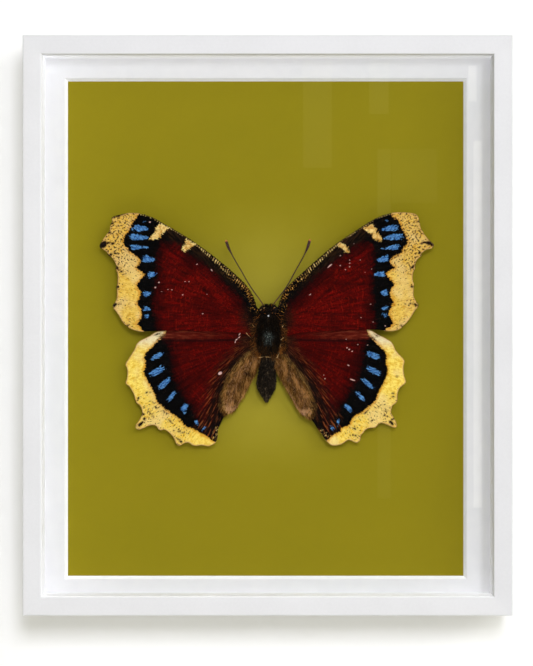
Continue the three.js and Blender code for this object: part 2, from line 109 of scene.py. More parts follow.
def sweep(bm, route, radii, sides):  # a round tube along a route, closed at both ends
    stations = []
    for index, point in enumerate(route):
        ahead = Vector(route[min(index + 1, len(route) - 1)]) - Vector(route[max(index - 1, 0)])
        turned = ahead.to_track_quat("Z", "Y").to_matrix().to_4x4()
        stations.append(Matrix.Translation(point) @ turned @ Matrix.Scale(radii[index], 4))
    ring = bmesh.ops.create_circle(bm, cap_ends=True, segments=sides, radius=1)["verts"]
    bmesh.ops.transform(bm, matrix=stations[0], verts=ring)
    cap = ring[0].link_faces[0]
    for before, after in zip(stations, stations[1:]):
        grown = bmesh.ops.extrude_face_region(bm, geom=[cap])["geom"]
        cap = next(item for item in grown if isinstance(item, bmesh.types.BMFace))
        bmesh.ops.transform(bm, matrix=after @ before.inverted(), verts=cap.verts[:])


def strand(segments, bend):  # one tapered hair along +z, one unit long and one wide at its root
    bm = bmesh.new()
    bmesh.ops.create_cone(bm, cap_ends=True, segments=3, radius1=0.5, radius2=0.08, depth=1)
    bmesh.ops.translate(bm, vec=(0, 0, 0.5), verts=bm.verts)
    for cut in range(1, segments):
        geometry = bm.verts[:] + bm.edges[:] + bm.faces[:]
        bmesh.ops.bisect_plane(bm, geom=geometry, plane_co=(0, 0, cut / segments), plane_no=(0, 0, 1))
    for vert in bm.verts:
        vert.co.x += bend * vert.co.z ** 2
    bmesh.ops.triangulate(bm, faces=bm.faces)
    return bm


def copies(name, template, places, tones):  # one mesh of the template at every place, with a tone for each
    shape = np.array([vert.co for vert in template.verts])
    corners = np.array([[vert.index for vert in face.verts] for face in template.faces])
    template.free()
    turns = np.array([[list(row) for row in place] for place in places])
    points = np.einsum("nij,vj->nvi", turns[:, :3, :3], shape) + turns[:, None, :3, 3]
    faces = corners[None] + (np.arange(len(places)) * len(shape))[:, None, None]
    mesh = bpy.data.meshes.new(name)
    mesh.from_pydata(points.reshape(-1, 3), [], faces.reshape(-1, 3))
    mesh.attributes.new("tone", "FLOAT", "POINT").data.foreach_set("value", np.repeat(tones, len(shape)))
    mesh.attributes.new("tip", "FLOAT", "POINT").data.foreach_set("value", np.tile(shape[:, 2], len(places)))
    return mesh


def hairPlace(root, direction, length, width):  # where a strand stands, with a random roll
    turned = Vector(direction).to_track_quat("Z", "Y").to_matrix().to_4x4()
    roll = Matrix.Rotation(dice.uniform(0, math.tau), 4, "Z")
    return Matrix.Translation(root) @ turned @ roll @ Matrix.Diagonal((width, width, length, 1))


# Lines and areas on the plan, as numpy arrays of points
def smoothLine(points, steps, closed=True):
    line = np.array(points, float)
    before, after = np.roll(line, 1, 0), np.roll(line, -1, 0)
    if not closed:
        before[0], after[-1] = line[0], line[-1]
    along = after - before
    along /= np.linalg.norm(along, axis=1)[:, None]
    count = len(line) if closed else len(line) - 1
    made = []
    for index in range(count):
        start, end = line[index], line[(index + 1) % len(line)]
        reach = np.linalg.norm(end - start)
        for step in range(steps):
            t = step / steps
            made.append(
                (2 * t ** 3 - 3 * t ** 2 + 1) * start + (t ** 3 - 2 * t ** 2 + t) * reach * along[index]
                + (3 * t ** 2 - 2 * t ** 3) * end + (t ** 3 - t ** 2) * reach * along[(index + 1) % len(line)])
    if not closed:
        made.append(line[-1])
    return np.array(made)


def nearest(line, points, closed=True):  # the distance to a line, the nearest point on it and how far along that is
    starts = np.array(line, float)
    ends = np.roll(starts, -1, 0)
    if not closed:
        starts, ends = starts[:-1], ends[:-1]
    best = np.full(len(points), 1e9)
    place = np.zeros((len(points), 2))
    along = np.zeros(len(points))
    passed = 0.0
    for start, end in zip(starts, ends):
        edge = end - start
        length = math.hypot(*edge)
        share = np.clip((points - start) @ edge / length ** 2, 0, 1)
        found = start + share[:, None] * edge
        distance = np.hypot(*(points - found).T)
        closer = distance < best
        best[closer] = distance[closer]
        place[closer] = found[closer]
        along[closer] = passed + share[closer] * length
        passed += length
    return best, place, along


def inside(loop, points):
    starts = np.array(loop, float)
    within = np.zeros(len(points), bool)
    for (ax, ay), (bx, by) in zip(starts, np.roll(starts, -1, 0)):
        if ay != by:
            crosses = (ay > points[:, 1]) != (by > points[:, 1])
            within ^= crosses & (points[:, 0] < (bx - ax) * (points[:, 1] - ay) / (by - ay) + ax)
    return within


def signed(loop, points):  # the distance to a closed line, positive inside it
    distance = nearest(loop, points)[0]
    return np.where(inside(loop, points), distance, -distance)


def spots(ellipses, points, blunt=2.0, taper=0.0):  # about the distance into the nearest of some ellipses
    best = np.full(len(points), -9.0)
    for x, y, length, width, angle in ellipses:
        turn = math.radians(angle)
        over = points - (x, y)
        u = over[:, 0] * math.cos(turn) + over[:, 1] * math.sin(turn)
        v = over[:, 1] * math.cos(turn) - over[:, 0] * math.sin(turn)
        v /= 1 - taper * np.clip(u / length, -1, 1)
        best = np.maximum(best, (1 - (np.abs(u / length) ** blunt + np.abs(v / width) ** blunt) ** (1 / blunt)) * width)
    return best


def ease(value, low, high):
    share = np.clip((value - low) / (high - low), 0, 1)
    return share * share * (3 - 2 * share)


# Making materials
def tone(red, green, blue):  # a colour as the screen shows it, as the linear values that Blender mixes
    shares = [value / 255 for value in (red, green, blue)]
    return (*[s / 12.92 if s <= 0.04045 else ((s + 0.055) / 1.055) ** 2.4 for s in shares], 1)


def add(tree, kind, inputs=None, **settings):
    made = tree.nodes.new("ShaderNode" + kind)
    for key, value in settings.items():
        setattr(made, key, value)
    for key, value in (inputs or {}).items():
        if isinstance(value, bpy.types.NodeSocket):
            tree.links.new(value, made.inputs[key])
        else:
            made.inputs[key].default_value = value
    return made


def calc(tree, operation, *values):
    return add(tree, "Math", dict(enumerate(values)), operation=operation).outputs[0]


def scaled(tree, vector, amount):
    return add(tree, "VectorMath", {0: vector, 1: amount}, operation="MULTIPLY").outputs[0]


def fade(tree, value, low, high):  # a soft step from 0 at low to 1 at high
    inputs = {"Value": value, "From Min": low, "From Max": high}
    return add(tree, "MapRange", inputs, interpolation_type="SMOOTHSTEP").outputs["Result"]


def mix(tree, mask, below, above, blend="MIX"):
    return add(tree, "Mix", {0: mask, 6: below, 7: above}, data_type="RGBA", blend_type=blend).outputs[2]


def cloud(tree, vector, scale, detail=2.0, roughness=0.5):
    inputs = {"Vector": vector, "Scale": scale, "Detail": detail, "Roughness": roughness}
    return add(tree, "TexNoise", inputs).outputs[0]


def ragged(tree, value, *noises):  # a distance made uneven: pairs of a 0 to 1 noise and its reach
    for source, reach in noises:
        value = calc(tree, "MULTIPLY_ADD", calc(tree, "SUBTRACT", source, 0.5), reach, value)
    return value


def field(tree, name):
    return add(tree, "Attribute", attribute_name=name).outputs["Fac"]


def millimetres(tree):
    place = add(tree, "TexCoord").outputs["Object"]
    return scaled(tree, place, (1 / mm, 1 / mm, 1 / mm))


def startMaterial(name, shader=None, **looks):
    made = bpy.data.materials.new(name)
    made.use_nodes = True
    tree = made.node_tree
    tree.nodes.clear()
    surface = add(tree, "BsdfPrincipled", {key: value for key, value in looks.items() if value is not None})
    output = add(tree, "OutputMaterial", {"Surface": surface.outputs[0]})
    return made, tree, surface, output


def dress(tree, surface, colour=None, roughness=None, height=None, depth=0.02, strength=1.0):
    if colour is not None:
        tree.links.new(colour, surface.inputs["Base Color"])
    if roughness is not None:
        tree.links.new(roughness, surface.inputs["Roughness"])
    if height is not None:
        bump = add(tree, "Bump", {"Height": height, "Distance": depth * mm, "Strength": strength})
        tree.links.new(bump.outputs[0], surface.inputs["Normal"])


# Grain that several finishes share: fibres lying one way over a soft mottle
def nodeGroup(name, inputs, outputs):
    group = bpy.data.node_groups.new(name, "ShaderNodeTree")
    for label, kind, value in inputs:
        socket = group.interface.new_socket(name=label, in_out="INPUT", socket_type="NodeSocket" + kind)
        if value is not None:
            socket.default_value = value
    for label in outputs:
        group.interface.new_socket(name=label, in_out="OUTPUT", socket_type="NodeSocketFloat")
    return group, group.nodes.new("NodeGroupInput").outputs, group.nodes.new("NodeGroupOutput").inputs


def fibreGroup():
    group, given, wanted = nodeGroup(
        "fibreGrain", [("Vector", "Vector", None), ("Fibre", "Float", 5.0), ("Mottle", "Float", 0.2)],
        ["Height", "Tone"])
    fibres = cloud(group, given["Vector"], given["Fibre"], 4.0, 0.65)
    mottle = cloud(group, given["Vector"], given["Mottle"], 3.0)
    group.links.new(fibres, wanted["Height"])
    group.links.new(calc(group, "MULTIPLY_ADD", mottle, 0.6, calc(group, "MULTIPLY", fibres, 0.4)), wanted["Tone"])
    return group


fibreGrain = fibreGroup()


def grainOn(tree, vector, fibre, mottle):
    made = add(tree, "Group", node_tree=fibreGrain)
    tree.links.new(vector, made.inputs["Vector"])
    made.inputs["Fibre"].default_value = fibre
    made.inputs["Mottle"].default_value = mottle
    return made.outputs["Height"], made.outputs["Tone"]


# Finishes of the frame, its boards and its metal
boardLooks = {
    "framePaint": {"light": (221, 221, 221), "dark": (217, 217, 217), "rough": (0.34, 0.5), "stretch": (1, 1, 1),
                   "fibre": 1.6, "mottle": 0.05, "depth": 0.012, "gloss": 0.15},
    "matBoardPaper": {"light": (238, 238, 239), "dark": (234, 234, 236), "rough": (0.8, 0.92), "stretch": (1, 1, 1),
                      "fibre": 7.0, "mottle": 0.4, "depth": 0.002},
    "spacerBoard": {"light": (240, 240, 243), "dark": (236, 236, 240), "rough": (0.7, 0.85), "stretch": (1, 1, 1),
                    "fibre": 6.0, "mottle": 0.3, "depth": 0.002},
    "fibreboard": {"light": (148, 115, 78), "dark": (118, 88, 56), "rough": (0.75, 0.95), "stretch": (0.6, 1, 1.3),
                   "fibre": 3.6, "mottle": 0.8, "depth": 0.05},
    "pointSteel": {"light": (176, 178, 180), "dark": (132, 134, 138), "rough": (0.25, 0.45), "stretch": (0.4, 4, 4),
                   "fibre": 2.6, "mottle": 0.6, "depth": 0.006, "metal": 1.0},
    "hangerBrass": {"light": (200, 166, 96), "dark": (172, 138, 72), "rough": (0.22, 0.48), "stretch": (0.4, 1, 5),
                    "fibre": 2.2, "mottle": 0.35, "depth": 0.006, "metal": 1.0},
    # near white, so that the pin's end shows a painted glint
    "pinSteelGlint": {"light": (250, 250, 252), "dark": (226, 226, 230), "rough": (0.16, 0.3), "stretch": (4, 0.5, 4),
                 "fibre": 4.0, "mottle": 1.0, "depth": 0.004, "metal": 0.3}}


def boardMaterial(name):
    look = boardLooks[name]
    made, tree, surface, _ = startMaterial(name, **{"Metallic": look.get("metal"), "Specular IOR Level": look.get("gloss")})
    place = scaled(tree, millimetres(tree), look["stretch"])
    height, shade = grainOn(tree, place, look["fibre"], look["mottle"])
    colour = mix(tree, fade(tree, shade, 0.36, 0.64), tone(*look["dark"]), tone(*look["light"]))
    smooth, rough = look["rough"]
    roughness = calc(tree, "MULTIPLY_ADD", shade, rough - smooth, smooth)
    dress(tree, surface, colour, roughness, height, look["depth"])
    return made


finishes = {name: boardMaterial(name) for name in boardLooks}

# The card is painted lighter round the specimen and darker towards its edge: a painted pool of light.
groundLooks = {
    "middle": (162, 149, 46), "rim": (142, 129, 23), "lightPoolCentre": (0.0, -55.0), "lightPoolReach": (10, 40), "depth": 0.012}


def oliveMaterial():
    made, tree, surface, _ = startMaterial("oliveCard", **{"Specular IOR Level": 0.06})
    place = millimetres(tree)
    height, shade = grainOn(tree, place, 6.0, 0.12)
    across = add(tree, "SeparateXYZ", {0: place}).outputs
    dx = calc(tree, "SUBTRACT", across["X"], groundLooks["lightPoolCentre"][0])
    dz = calc(tree, "SUBTRACT", across["Z"], groundLooks["lightPoolCentre"][1])
    reach = calc(tree, "SQRT", calc(tree, "ADD", calc(tree, "MULTIPLY", dx, dx), calc(tree, "MULTIPLY", dz, dz)))
    # painted pool of light: lighter round the middle of the card
    paintedLightPool = fade(tree, ragged(tree, reach, (shade, 10.0)), groundLooks["lightPoolReach"][1], groundLooks["lightPoolReach"][0])
    colour = mix(tree, paintedLightPool, tone(*groundLooks["rim"]), tone(*groundLooks["middle"]))
    colour = mix(tree, calc(tree, "MULTIPLY", fade(tree, height, 0.35, 0.65), 0.1), colour, tone(120, 108, 14))
    dress(tree, surface, colour, calc(tree, "MULTIPLY_ADD", shade, 0.15, 0.78), height, groundLooks["depth"])
    return made


def glassMaterial():  # lamps and soft light pass straight through, and what is seen goes through clear glass
    made, tree, surface, output = startMaterial(
        "pictureGlass", **{"Transmission Weight": 1.0, "IOR": 1.45, "Roughness": 0.0})
    smear = cloud(tree, scaled(tree, millimetres(tree), (0.03, 0.03, 0.05)), 1.0, 3.0)
    dress(tree, surface, mix(tree, fade(tree, smear, 0.4, 0.7), (1, 1, 1, 1), (0.975, 0.985, 0.98, 1)))
    path = add(tree, "LightPath").outputs
    clear = add(tree, "BsdfTransparent", {"Color": (0.985, 0.99, 0.987, 1)})
    through = calc(tree, "MAXIMUM", path["Is Shadow Ray"], path["Is Diffuse Ray"])
    both = add(tree, "MixShader", {0: through, 1: surface.outputs[0], 2: clear.outputs[0]})
    tree.links.new(both.outputs[0], output.inputs["Surface"])
    return made


finishes["oliveCard"] = oliveMaterial()
finishes["pictureGlass"] = glassMaterial()


# Scales of the wings. The distances that it reads are written on the wings' points, in millimetres.
wingColours = {
    "redDark": (42, 1, 0), "red": (103, 5, 3), "redLight": (150, 24, 8), "redVein": (26, 1, 1), "redDust": (134, 52, 38),
    "stripDark": (84, 22, 12), "stripLight": (146, 66, 42), "underStrip": (20, 3, 3), "rootHair": (140, 68, 24), "freckle": (230, 162, 66),
    "rootShade": (18, 9, 6), "creaseDarkAndShade": (20, 9, 6), "creaseHair": (140, 74, 36), "black": (3, 3, 3),
    "blackDust": (44, 34, 26), "costaBrown": (44, 27, 12), "blueDark": (38, 84, 142), "blueLight": (96, 150, 206),
    "blueGap": (14, 22, 42), "creamDark": (196, 144, 64), "creamLight": (238, 208, 130), "foreDark": (200, 148, 44),
    "foreLight": (242, 206, 94), "hindDark": (226, 178, 50), "hindLight": (252, 224, 106), "pale": (240, 218, 160),
    "white": (226, 218, 196), "ochre": (206, 138, 30), "fringe": (214, 168, 112), "speck": (64, 40, 22),
    "dust": (186, 142, 84), "foldDarkAndShade": (46, 29, 12), "fold": (108, 72, 28), "foldLight": (172, 130, 70),
    "foldPink": (180, 136, 104), "nick": (22, 14, 10), "nickRim": (104, 74, 44), "scuff": (226, 180, 170)}


def wingMaterial():
    made, tree, surface, _ = startMaterial("wingScales", **{"Specular IOR Level": 0.03})
    paint = {name: tone(*colour) for name, colour in wingColours.items()}
    place = millimetres(tree)
    flow = add(tree, "Attribute", attribute_name="flow").outputs["Vector"]
    front = add(tree, "SeparateXYZ", {0: add(tree, "Attribute", attribute_name="costaFlow").outputs["Vector"]}).outputs
    scales = cloud(tree, place, 2.7, 3.0, 0.75)
    clumps = cloud(tree, place, 1.1, 3.0, 0.65)
    drift = cloud(tree, place, 0.16, 2.0)
    fine = cloud(tree, scaled(tree, flow, (0.9, 3.4, 1)), 1.0, 2.0, 0.6)
    rays = cloud(tree, scaled(tree, flow, (0.22, 1.15, 1)), 1.0, 4.0, 0.65)
    hairs = cloud(tree, scaled(tree, flow, (0.3, 2.1, 1)), 1.0, 3.0, 0.6)
    rows = cloud(tree, scaled(tree, flow, (2.1, 0.5, 1)), 1.0, 3.0, 0.7)
    here = {name: field(tree, name) for name in wingFields}

    def lay(base, mask, colour, amount=1.0):  # one colour over another where the mask is 1
        if amount != 1.0:
            mask = calc(tree, "MULTIPLY", mask, amount)
        return mix(tree, mask, base, paint[colour] if isinstance(colour, str) else colour)

    def both(first, second):
        return calc(tree, "MULTIPLY", first, second)

    # dark red field, streaked outwards from the root and crossed by fine rows, darker near the band and the veins
    colour = mix(tree, fade(tree, rays, 0.3, 0.7), paint["redDark"], paint["red"])
    colour = lay(colour, fade(tree, rows, 0.5, 0.68), "redLight", 0.55)
    colour = lay(colour, fade(tree, drift, 0.56, 0.36), "redDark", 0.6)
    colour = lay(colour, here["hindward"], "redDark", 0.25)
    colour = lay(colour, fade(tree, scales, 0.5, 0.36), "redDark", 0.7)
    colour = lay(colour, fade(tree, scales, 0.62, 0.74), "redDust", 0.4)
    colour = lay(colour, fade(tree, ragged(tree, here["vein"], (clumps, 0.4)), 0.36, 0.08), "redVein", 0.35)
    colour = lay(colour, fade(tree, ragged(tree, here["field"], (clumps, 3.0), (scales, 1.5)), 3.4, 0.2), "redVein", 0.7)

    # duller streaky strip along the hindwing's front edge, with a dark line under it
    strip = fade(tree, ragged(tree, here["strip"], (clumps, 1.6), (rays, 1.8)), -0.2, 0.9)
    strip = both(strip, fade(tree, ragged(tree, here["root"], (hairs, 20.0)), 4.0, 22.0))
    colour = lay(colour, strip, "stripDark", 0.75)
    colour = lay(colour, both(strip, fade(tree, hairs, 0.48, 0.64)), "stripLight", 0.42)
    under = fade(tree, calc(tree, "ABSOLUTE", ragged(tree, here["strip"], (clumps, 0.6))), 0.5, 0.1)
    colour = lay(colour, under, "underStrip", 0.7)

    # dark shade and brown hair near the root
    shade = fade(tree, ragged(tree, here["root"], (clumps, 4.0), (hairs, 6.0)), 6.0, 1.6)
    colour = lay(colour, shade, "rootShade", 0.9)
    rootward = fade(tree, ragged(tree, here["root"], (rays, 10.0)), 6.0, 1.5)
    colour = lay(colour, both(rootward, fade(tree, fine, 0.56, 0.66)), "rootHair", 0.55)

    # black band, browner along the front edge
    black = fade(tree, ragged(tree, here["field"], (scales, 2.4), (clumps, 2.4), (rays, 1.6)), 0.9, -0.7)
    night = mix(tree, fade(tree, scales, 0.58, 0.74), paint["black"], paint["blackDust"])
    dusky = both(fade(tree, ragged(tree, front["Y"], (clumps, 3.0), (scales, 3.0)), 3.6, 1.6), fade(tree, front["X"], 36, 32))
    dusky = both(dusky, fade(tree, front["X"], 4, 16))
    colour = lay(colour, black, lay(night, both(dusky, fade(tree, hairs, 0.42, 0.6)), "costaBrown", 0.9))

    ridge = both(fade(tree, ragged(tree, front["Y"], (clumps, 2.4), (scales, 1.8)), 2.4, 0.9), fade(tree, front["X"], 22, 16))
    colour = lay(colour, ridge, "black", 0.9)

    # beside the fold, dark and orange-brown hair streaks, and a dark line of painted shade along the crease
    beside = fade(tree, ragged(tree, here["furrow"], (rays, 3.6), (clumps, 1.6)), 4.0, 1.4)
    colour = lay(colour, both(beside, fade(tree, hairs, 0.56, 0.44)), "creaseDarkAndShade", 0.8)
    colour = lay(colour, both(beside, fade(tree, hairs, 0.53, 0.64)), "creaseHair", 0.65)
    # painted shade: a dark line laid along the crease
    crease = fade(tree, ragged(tree, here["furrow"], (hairs, 1.8), (clumps, 0.8)), 0.9, 0.2)
    colour = lay(colour, crease, "creaseDarkAndShade", 0.85)

    # blue spots, grained with the black that they lie on
    blue = fade(tree, ragged(tree, here["blue"], (scales, 1.0), (fine, 0.9)), 0.0, 0.16)
    sky = mix(tree, fade(tree, fine, 0.36, 0.66), paint["blueDark"], paint["blueLight"])
    colour = lay(colour, blue, lay(sky, fade(tree, scales, 0.5, 0.36), "blueGap", 0.8))

    # cream bars, and the short cream strokes along the front edge
    butter = mix(tree, fade(tree, clumps, 0.36, 0.62), paint["creamDark"], paint["creamLight"])
    butter = lay(butter, fade(tree, scales, 0.44, 0.34), "speck", 0.55)
    cream = fade(tree, ragged(tree, here["cream"], (scales, 2.0), (fine, 1.6)), 0.06, 0.3)
    colour = lay(colour, cream, butter)
    slanted = calc(tree, "MULTIPLY_ADD", front["Y"], 0.25, front["X"])
    comb = calc(tree, "FRACT", calc(tree, "MULTIPLY", ragged(tree, slanted, (clumps, 0.9)), 1.5))
    comb = fade(tree, calc(tree, "ABSOLUTE", calc(tree, "SUBTRACT", comb, 0.5)), 0.26, 0.36)
    reach = fade(tree, ragged(tree, here["costa"], (scales, 1.3), (clumps, 0.9)), 0.25, 0.45)
    reach = both(reach, fade(tree, front["Y"], 0.08, 0.2))
    reach = both(both(reach, fade(tree, clumps, 0.42, 0.51)), fade(tree, front["X"], 1, 6))
    reach = both(reach, calc(tree, "MAXIMUM", fade(tree, front["X"], 11, 17), fade(tree, scales, 0.47, 0.54)))
    colour = lay(colour, both(reach, comb), mix(tree, fade(tree, front["X"], 5, 16), paint["freckle"], butter), 0.9)
    freckles = both(fade(tree, ragged(tree, front["Y"], (clumps, 2.0)), 2.4, 1.2), fade(tree, front["X"], 20.0, 9.0))
    colour = lay(colour, both(freckles, fade(tree, scales, 0.6, 0.66)), "freckle", 0.8)
    dash = cloud(tree, scaled(tree, flow, (1.9, 3.2, 1)), 1.0, 1.0)

    # yellow margin: ochre along the black, peppered with brown where the pepper field is high
    grain = calc(tree, "MULTIPLY_ADD", fine, 0.45, calc(tree, "MULTIPLY", clumps, 0.55))
    fore = mix(tree, fade(tree, grain, 0.36, 0.6), paint["foreDark"], paint["foreLight"])
    hind = mix(tree, fade(tree, grain, 0.36, 0.6), paint["hindDark"], paint["hindLight"])
    yellow = mix(tree, fade(tree, here["hindward"], 0.0, 1.0), fore, hind)
    yellow = lay(yellow, fade(tree, drift, 0.48, 0.66), "pale", 0.4)
    yellow = lay(yellow, fade(tree, ragged(tree, here["hindward"], (clumps, 0.5)), 1.0, 1.9), "white", 0.65)
    yellow = lay(yellow, fade(tree, ragged(tree, here["margin"], (clumps, 0.9)), 0.9, 0.05), "ochre", 0.75)
    yellow = lay(yellow, fade(tree, ragged(tree, here["edge"], (scales, 0.5)), 0.4, 0.0), "fringe", 0.55)
    yellow = lay(yellow, both(here["pepper"], fade(tree, clumps, 0.38, 0.6)), "dust", 0.55)
    specks = fade(tree, calc(tree, "MULTIPLY_ADD", here["pepper"], 0.17, dash), 0.715, 0.76)
    yellow = lay(yellow, specks, "speck", 0.9)
    margin = fade(tree, ragged(tree, here["margin"], (scales, 0.9), (fine, 1.2)), -0.06, 0.14)
    colour = lay(colour, margin, yellow)

    # woolly brown fold beside the abdomen: darker at its seam with painted shade, pinkish further in, golden brown
    # towards the body
    fold = fade(tree, ragged(tree, here["fold"], (clumps, 1.4), (hairs, 1.6)), -0.4, 0.3)
    wool = mix(tree, fade(tree, hairs, 0.36, 0.62), paint["fold"], paint["foldLight"])
    inner = ragged(tree, here["fold"], (clumps, 3.0), (rays, 2.0))
    pink = both(fade(tree, inner, 0.9, 1.9), fade(tree, inner, 4.6, 3.0))
    wool = lay(wool, pink, "foldPink", 0.6)
    # painted shade along the fold's seam
    wool = lay(wool, fade(tree, ragged(tree, here["fold"], (hairs, 2.0)), 1.2, 0.1), "foldDarkAndShade", 0.7)
    wool = lay(wool, fade(tree, clumps, 0.48, 0.36), "foldDarkAndShade", 0.7)
    colour = lay(colour, fold, wool)

    # dark nicks at the vein ends, and rubbed or dusty marks
    nick = ragged(tree, here["nick"], (scales, 0.8), (clumps, 0.6))
    colour = lay(colour, fade(tree, nick, -0.3, 0.1), "nickRim", 0.7)
    colour = lay(colour, fade(tree, nick, 0.0, 0.14), "nick")
    scuff = fade(tree, ragged(tree, here["scuff"], (scales, 0.25)), 0.0, 0.07)
    colour = lay(colour, scuff, "scuff", 0.85)

    relief = calc(tree, "ADD", calc(tree, "MULTIPLY", scales, 0.5), calc(tree, "ADD", hairs, rays))
    dress(tree, surface, colour, calc(tree, "MULTIPLY_ADD", clumps, 0.3, 0.6), relief, 0.06)
    return made


wingFields = ("edge", "margin", "field", "blue", "cream", "costa", "nick", "scuff", "pepper", "vein", "fold",
              "furrow", "strip", "root", "hindward")
finishes["wingScales"] = wingMaterial()

# Hair: each strand has a tone from 0 to 1, and its tip is lighter or darker than its root
hairLooks = {
    "bodyHair": {"dark": (5, 4, 3), "mid": (64, 42, 18), "light": (190, 112, 40), "tip": (50, 36, 20)},
    "abdomenHair": {"dark": (5, 4, 3), "mid": (66, 55, 40), "light": (128, 110, 84), "tip": (44, 35, 25)},
    "foldWool": {"dark": (32, 19, 6), "mid": (98, 61, 20), "light": (184, 132, 72), "tip": (124, 80, 30)},
    "wingFringe": {"dark": (24, 16, 11), "mid": (176, 128, 70), "light": (226, 184, 122), "tip": (232, 204, 160)}}


def hairMaterial(name):
    look = hairLooks[name]
    made, tree, surface, _ = startMaterial(name, **{"Specular IOR Level": 0.05})
    shade = ragged(tree, field(tree, "tone"), (cloud(tree, millimetres(tree), 1.4, 2.0), 0.35))
    colour = mix(tree, fade(tree, shade, 0.1, 0.5), tone(*look["dark"]), tone(*look["mid"]))
    colour = mix(tree, fade(tree, shade, 0.6, 0.95), colour, tone(*look["light"]))
    tipward = calc(tree, "MULTIPLY", fade(tree, field(tree, "tip"), 0.3, 1.1), 0.35)
    colour = mix(tree, tipward, colour, tone(*look["tip"]))
    dress(tree, surface, colour, calc(tree, "MULTIPLY_ADD", shade, 0.2, 0.6))
    return made


finishes.update({name: hairMaterial(name) for name in hairLooks})


def skinMaterial():  # the body under its hair: near black, with a rubbed blue-grey patch on the middle of the thorax that carries a painted sheen, flecked paler
    made, tree, surface, _ = startMaterial("bodySkin", **{"Specular IOR Level": 0.04})
    place = millimetres(tree)
    lumps = cloud(tree, place, 1.6, 4.0, 0.65)
    specks = cloud(tree, place, 5.0, 2.0)
    colour = mix(tree, fade(tree, lumps, 0.35, 0.7), tone(7, 5, 4), tone(30, 22, 14))
    colour = mix(tree, fade(tree, specks, 0.6, 0.72), colour, tone(76, 62, 42))
    bloom = fade(tree, ragged(tree, field(tree, "bloom"), (lumps, 1.6)), 1.2, 0.1)
    # painted sheen on the rubbed patch, with paler flecks in it
    colour = mix(tree, calc(tree, "MULTIPLY", bloom, 0.7), colour, tone(68, 80, 76))
    colour = mix(tree, calc(tree, "MULTIPLY", bloom, fade(tree, specks, 0.56, 0.64)), colour, tone(150, 158, 150))
    dress(tree, surface, colour, calc(tree, "MULTIPLY_ADD", lumps, -0.2, 0.85), specks, 0.06)
    return made


def hornMaterial(name, dark, light, rings):  # the antennae's ringed shafts and clubs
    made, tree, surface, _ = startMaterial(name, **{"Specular IOR Level": 0.12})
    shade = cloud(tree, millimetres(tree), 2.5, 2.0)
    ringed = calc(tree, "FRACT", calc(tree, "MULTIPLY", field(tree, "along"), rings))
    joint = fade(tree, calc(tree, "ABSOLUTE", calc(tree, "SUBTRACT", ringed, 0.5)), 0.34, 0.48)
    colour = mix(tree, shade, tone(*dark), tone(*light))
    colour = mix(tree, calc(tree, "MULTIPLY", joint, 0.25), colour, tone(176, 140, 118))
    pale = calc(tree, "MULTIPLY", fade(tree, field(tree, "tip"), 0.3, 0.0), 0.55)
    colour = mix(tree, pale, colour, tone(128, 84, 52))
    colour = mix(tree, fade(tree, field(tree, "tip"), 0.965, 0.99), colour, tone(196, 122, 66))
    dress(tree, surface, colour, calc(tree, "MULTIPLY_ADD", shade, 0.2, 0.5), joint, -0.02)
    return made


finishes["bodySkin"] = skinMaterial()
finishes["antennaHorn"] = hornMaterial("antennaHorn", (30, 16, 17), (72, 46, 46), 2.6)
finishes["bodyEye"] = hornMaterial("bodyEye", (9, 6, 4), (34, 19, 9), 1.0)
print("finishes ready:", len(finishes))

# Frame, boards, glass and hanger
frameLooks = {"seam": 0.0, "frontSoftness": 0.4, "otherSoftness": 0.12, "paperSoftness": 0.05}
gap = 0.3  # room that the fitted parts keep in the frame
railLow, railHigh = planBox("frame_rail_left")
layerLow, layerHigh = planBox("ground_board")
matLow, matHigh = planBox("mat_board")
glassLow, glassHigh = planBox("glass_pane")
hangerLow, hangerHigh = planBox("sawtooth_hanger")
backingLow = planBox("backing_board")[0]
railFace = railHigh.x - railLow.x
railBody = layerLow.x - gap - railLow.x
lipBack = glassHigh.z + 0.02
halfWidth, halfHeight = -railLow.x, railHigh.y


def polygon(bm, points, depth):  # a flat outline at z 0, raised by depth
    face = bm.faces.new([bm.verts.new((x, y, 0)) for x, y in points])
    grown = bmesh.ops.extrude_face_region(bm, geom=[face])["geom"]
    bmesh.ops.translate(bm, vec=(0, 0, depth), verts=[item for item in grown if isinstance(item, bmesh.types.BMVert)])
    bmesh.ops.recalc_face_normals(bm, faces=bm.faces)


def soften(bm, edges, offset, segments):
    bmesh.ops.bevel(bm, geom=edges, offset=offset, segments=segments, profile=0.5, affect="EDGES", material=-1)


def makeRail(side, turn, across, length):
    bm = bmesh.new()
    front = railHigh.z
    polygon(bm, [(0, 0), (railBody, 0), (railBody, lipBack), (railFace, lipBack), (railFace, front), (0, front)], length)
    for vert in bm.verts:  # the section becomes x and z, and the ends are cut at 45 degrees
        x, z, y = vert.co
        end = length / 2 - x - frameLooks["seam"]
        vert.co = (x, end if y > length / 2 else -end, z)
    bmesh.ops.recalc_face_normals(bm, faces=bm.faces)
    along = [edge for edge in bm.edges if abs(edge.verts[0].co.x - edge.verts[1].co.x) < 1e-4
             and abs(edge.verts[0].co.z - edge.verts[1].co.z) < 1e-4]
    faceEdges = [edge for edge in along if edge.verts[0].co.z > front - 0.01]
    soften(bm, faceEdges, frameLooks["frontSoftness"], 5)
    others = [edge for edge in bm.edges if edge.is_valid and abs(edge.verts[0].co.x - edge.verts[1].co.x) < 1e-4
              and abs(edge.verts[0].co.z - edge.verts[1].co.z) < 1e-4 and edge.verts[0].co.z < lipBack + 0.01]
    soften(bm, others, frameLooks["otherSoftness"], 2)
    turned = Matrix.Rotation(turn * math.pi / 2, 4, "Z") @ Matrix.Translation((-across, 0, 0))
    node = f"frame_rail_{side}"
    finishPiece(f"rail_{side}", bm, toWorld @ turned, finishes["framePaint"], [node], crease=30)


for turn, side in enumerate(("left", "bottom", "right", "top")):
    across, length = ((halfWidth, 2 * halfHeight), (halfHeight, 2 * halfWidth))[turn % 2]
    makeRail(side, turn, across, length)

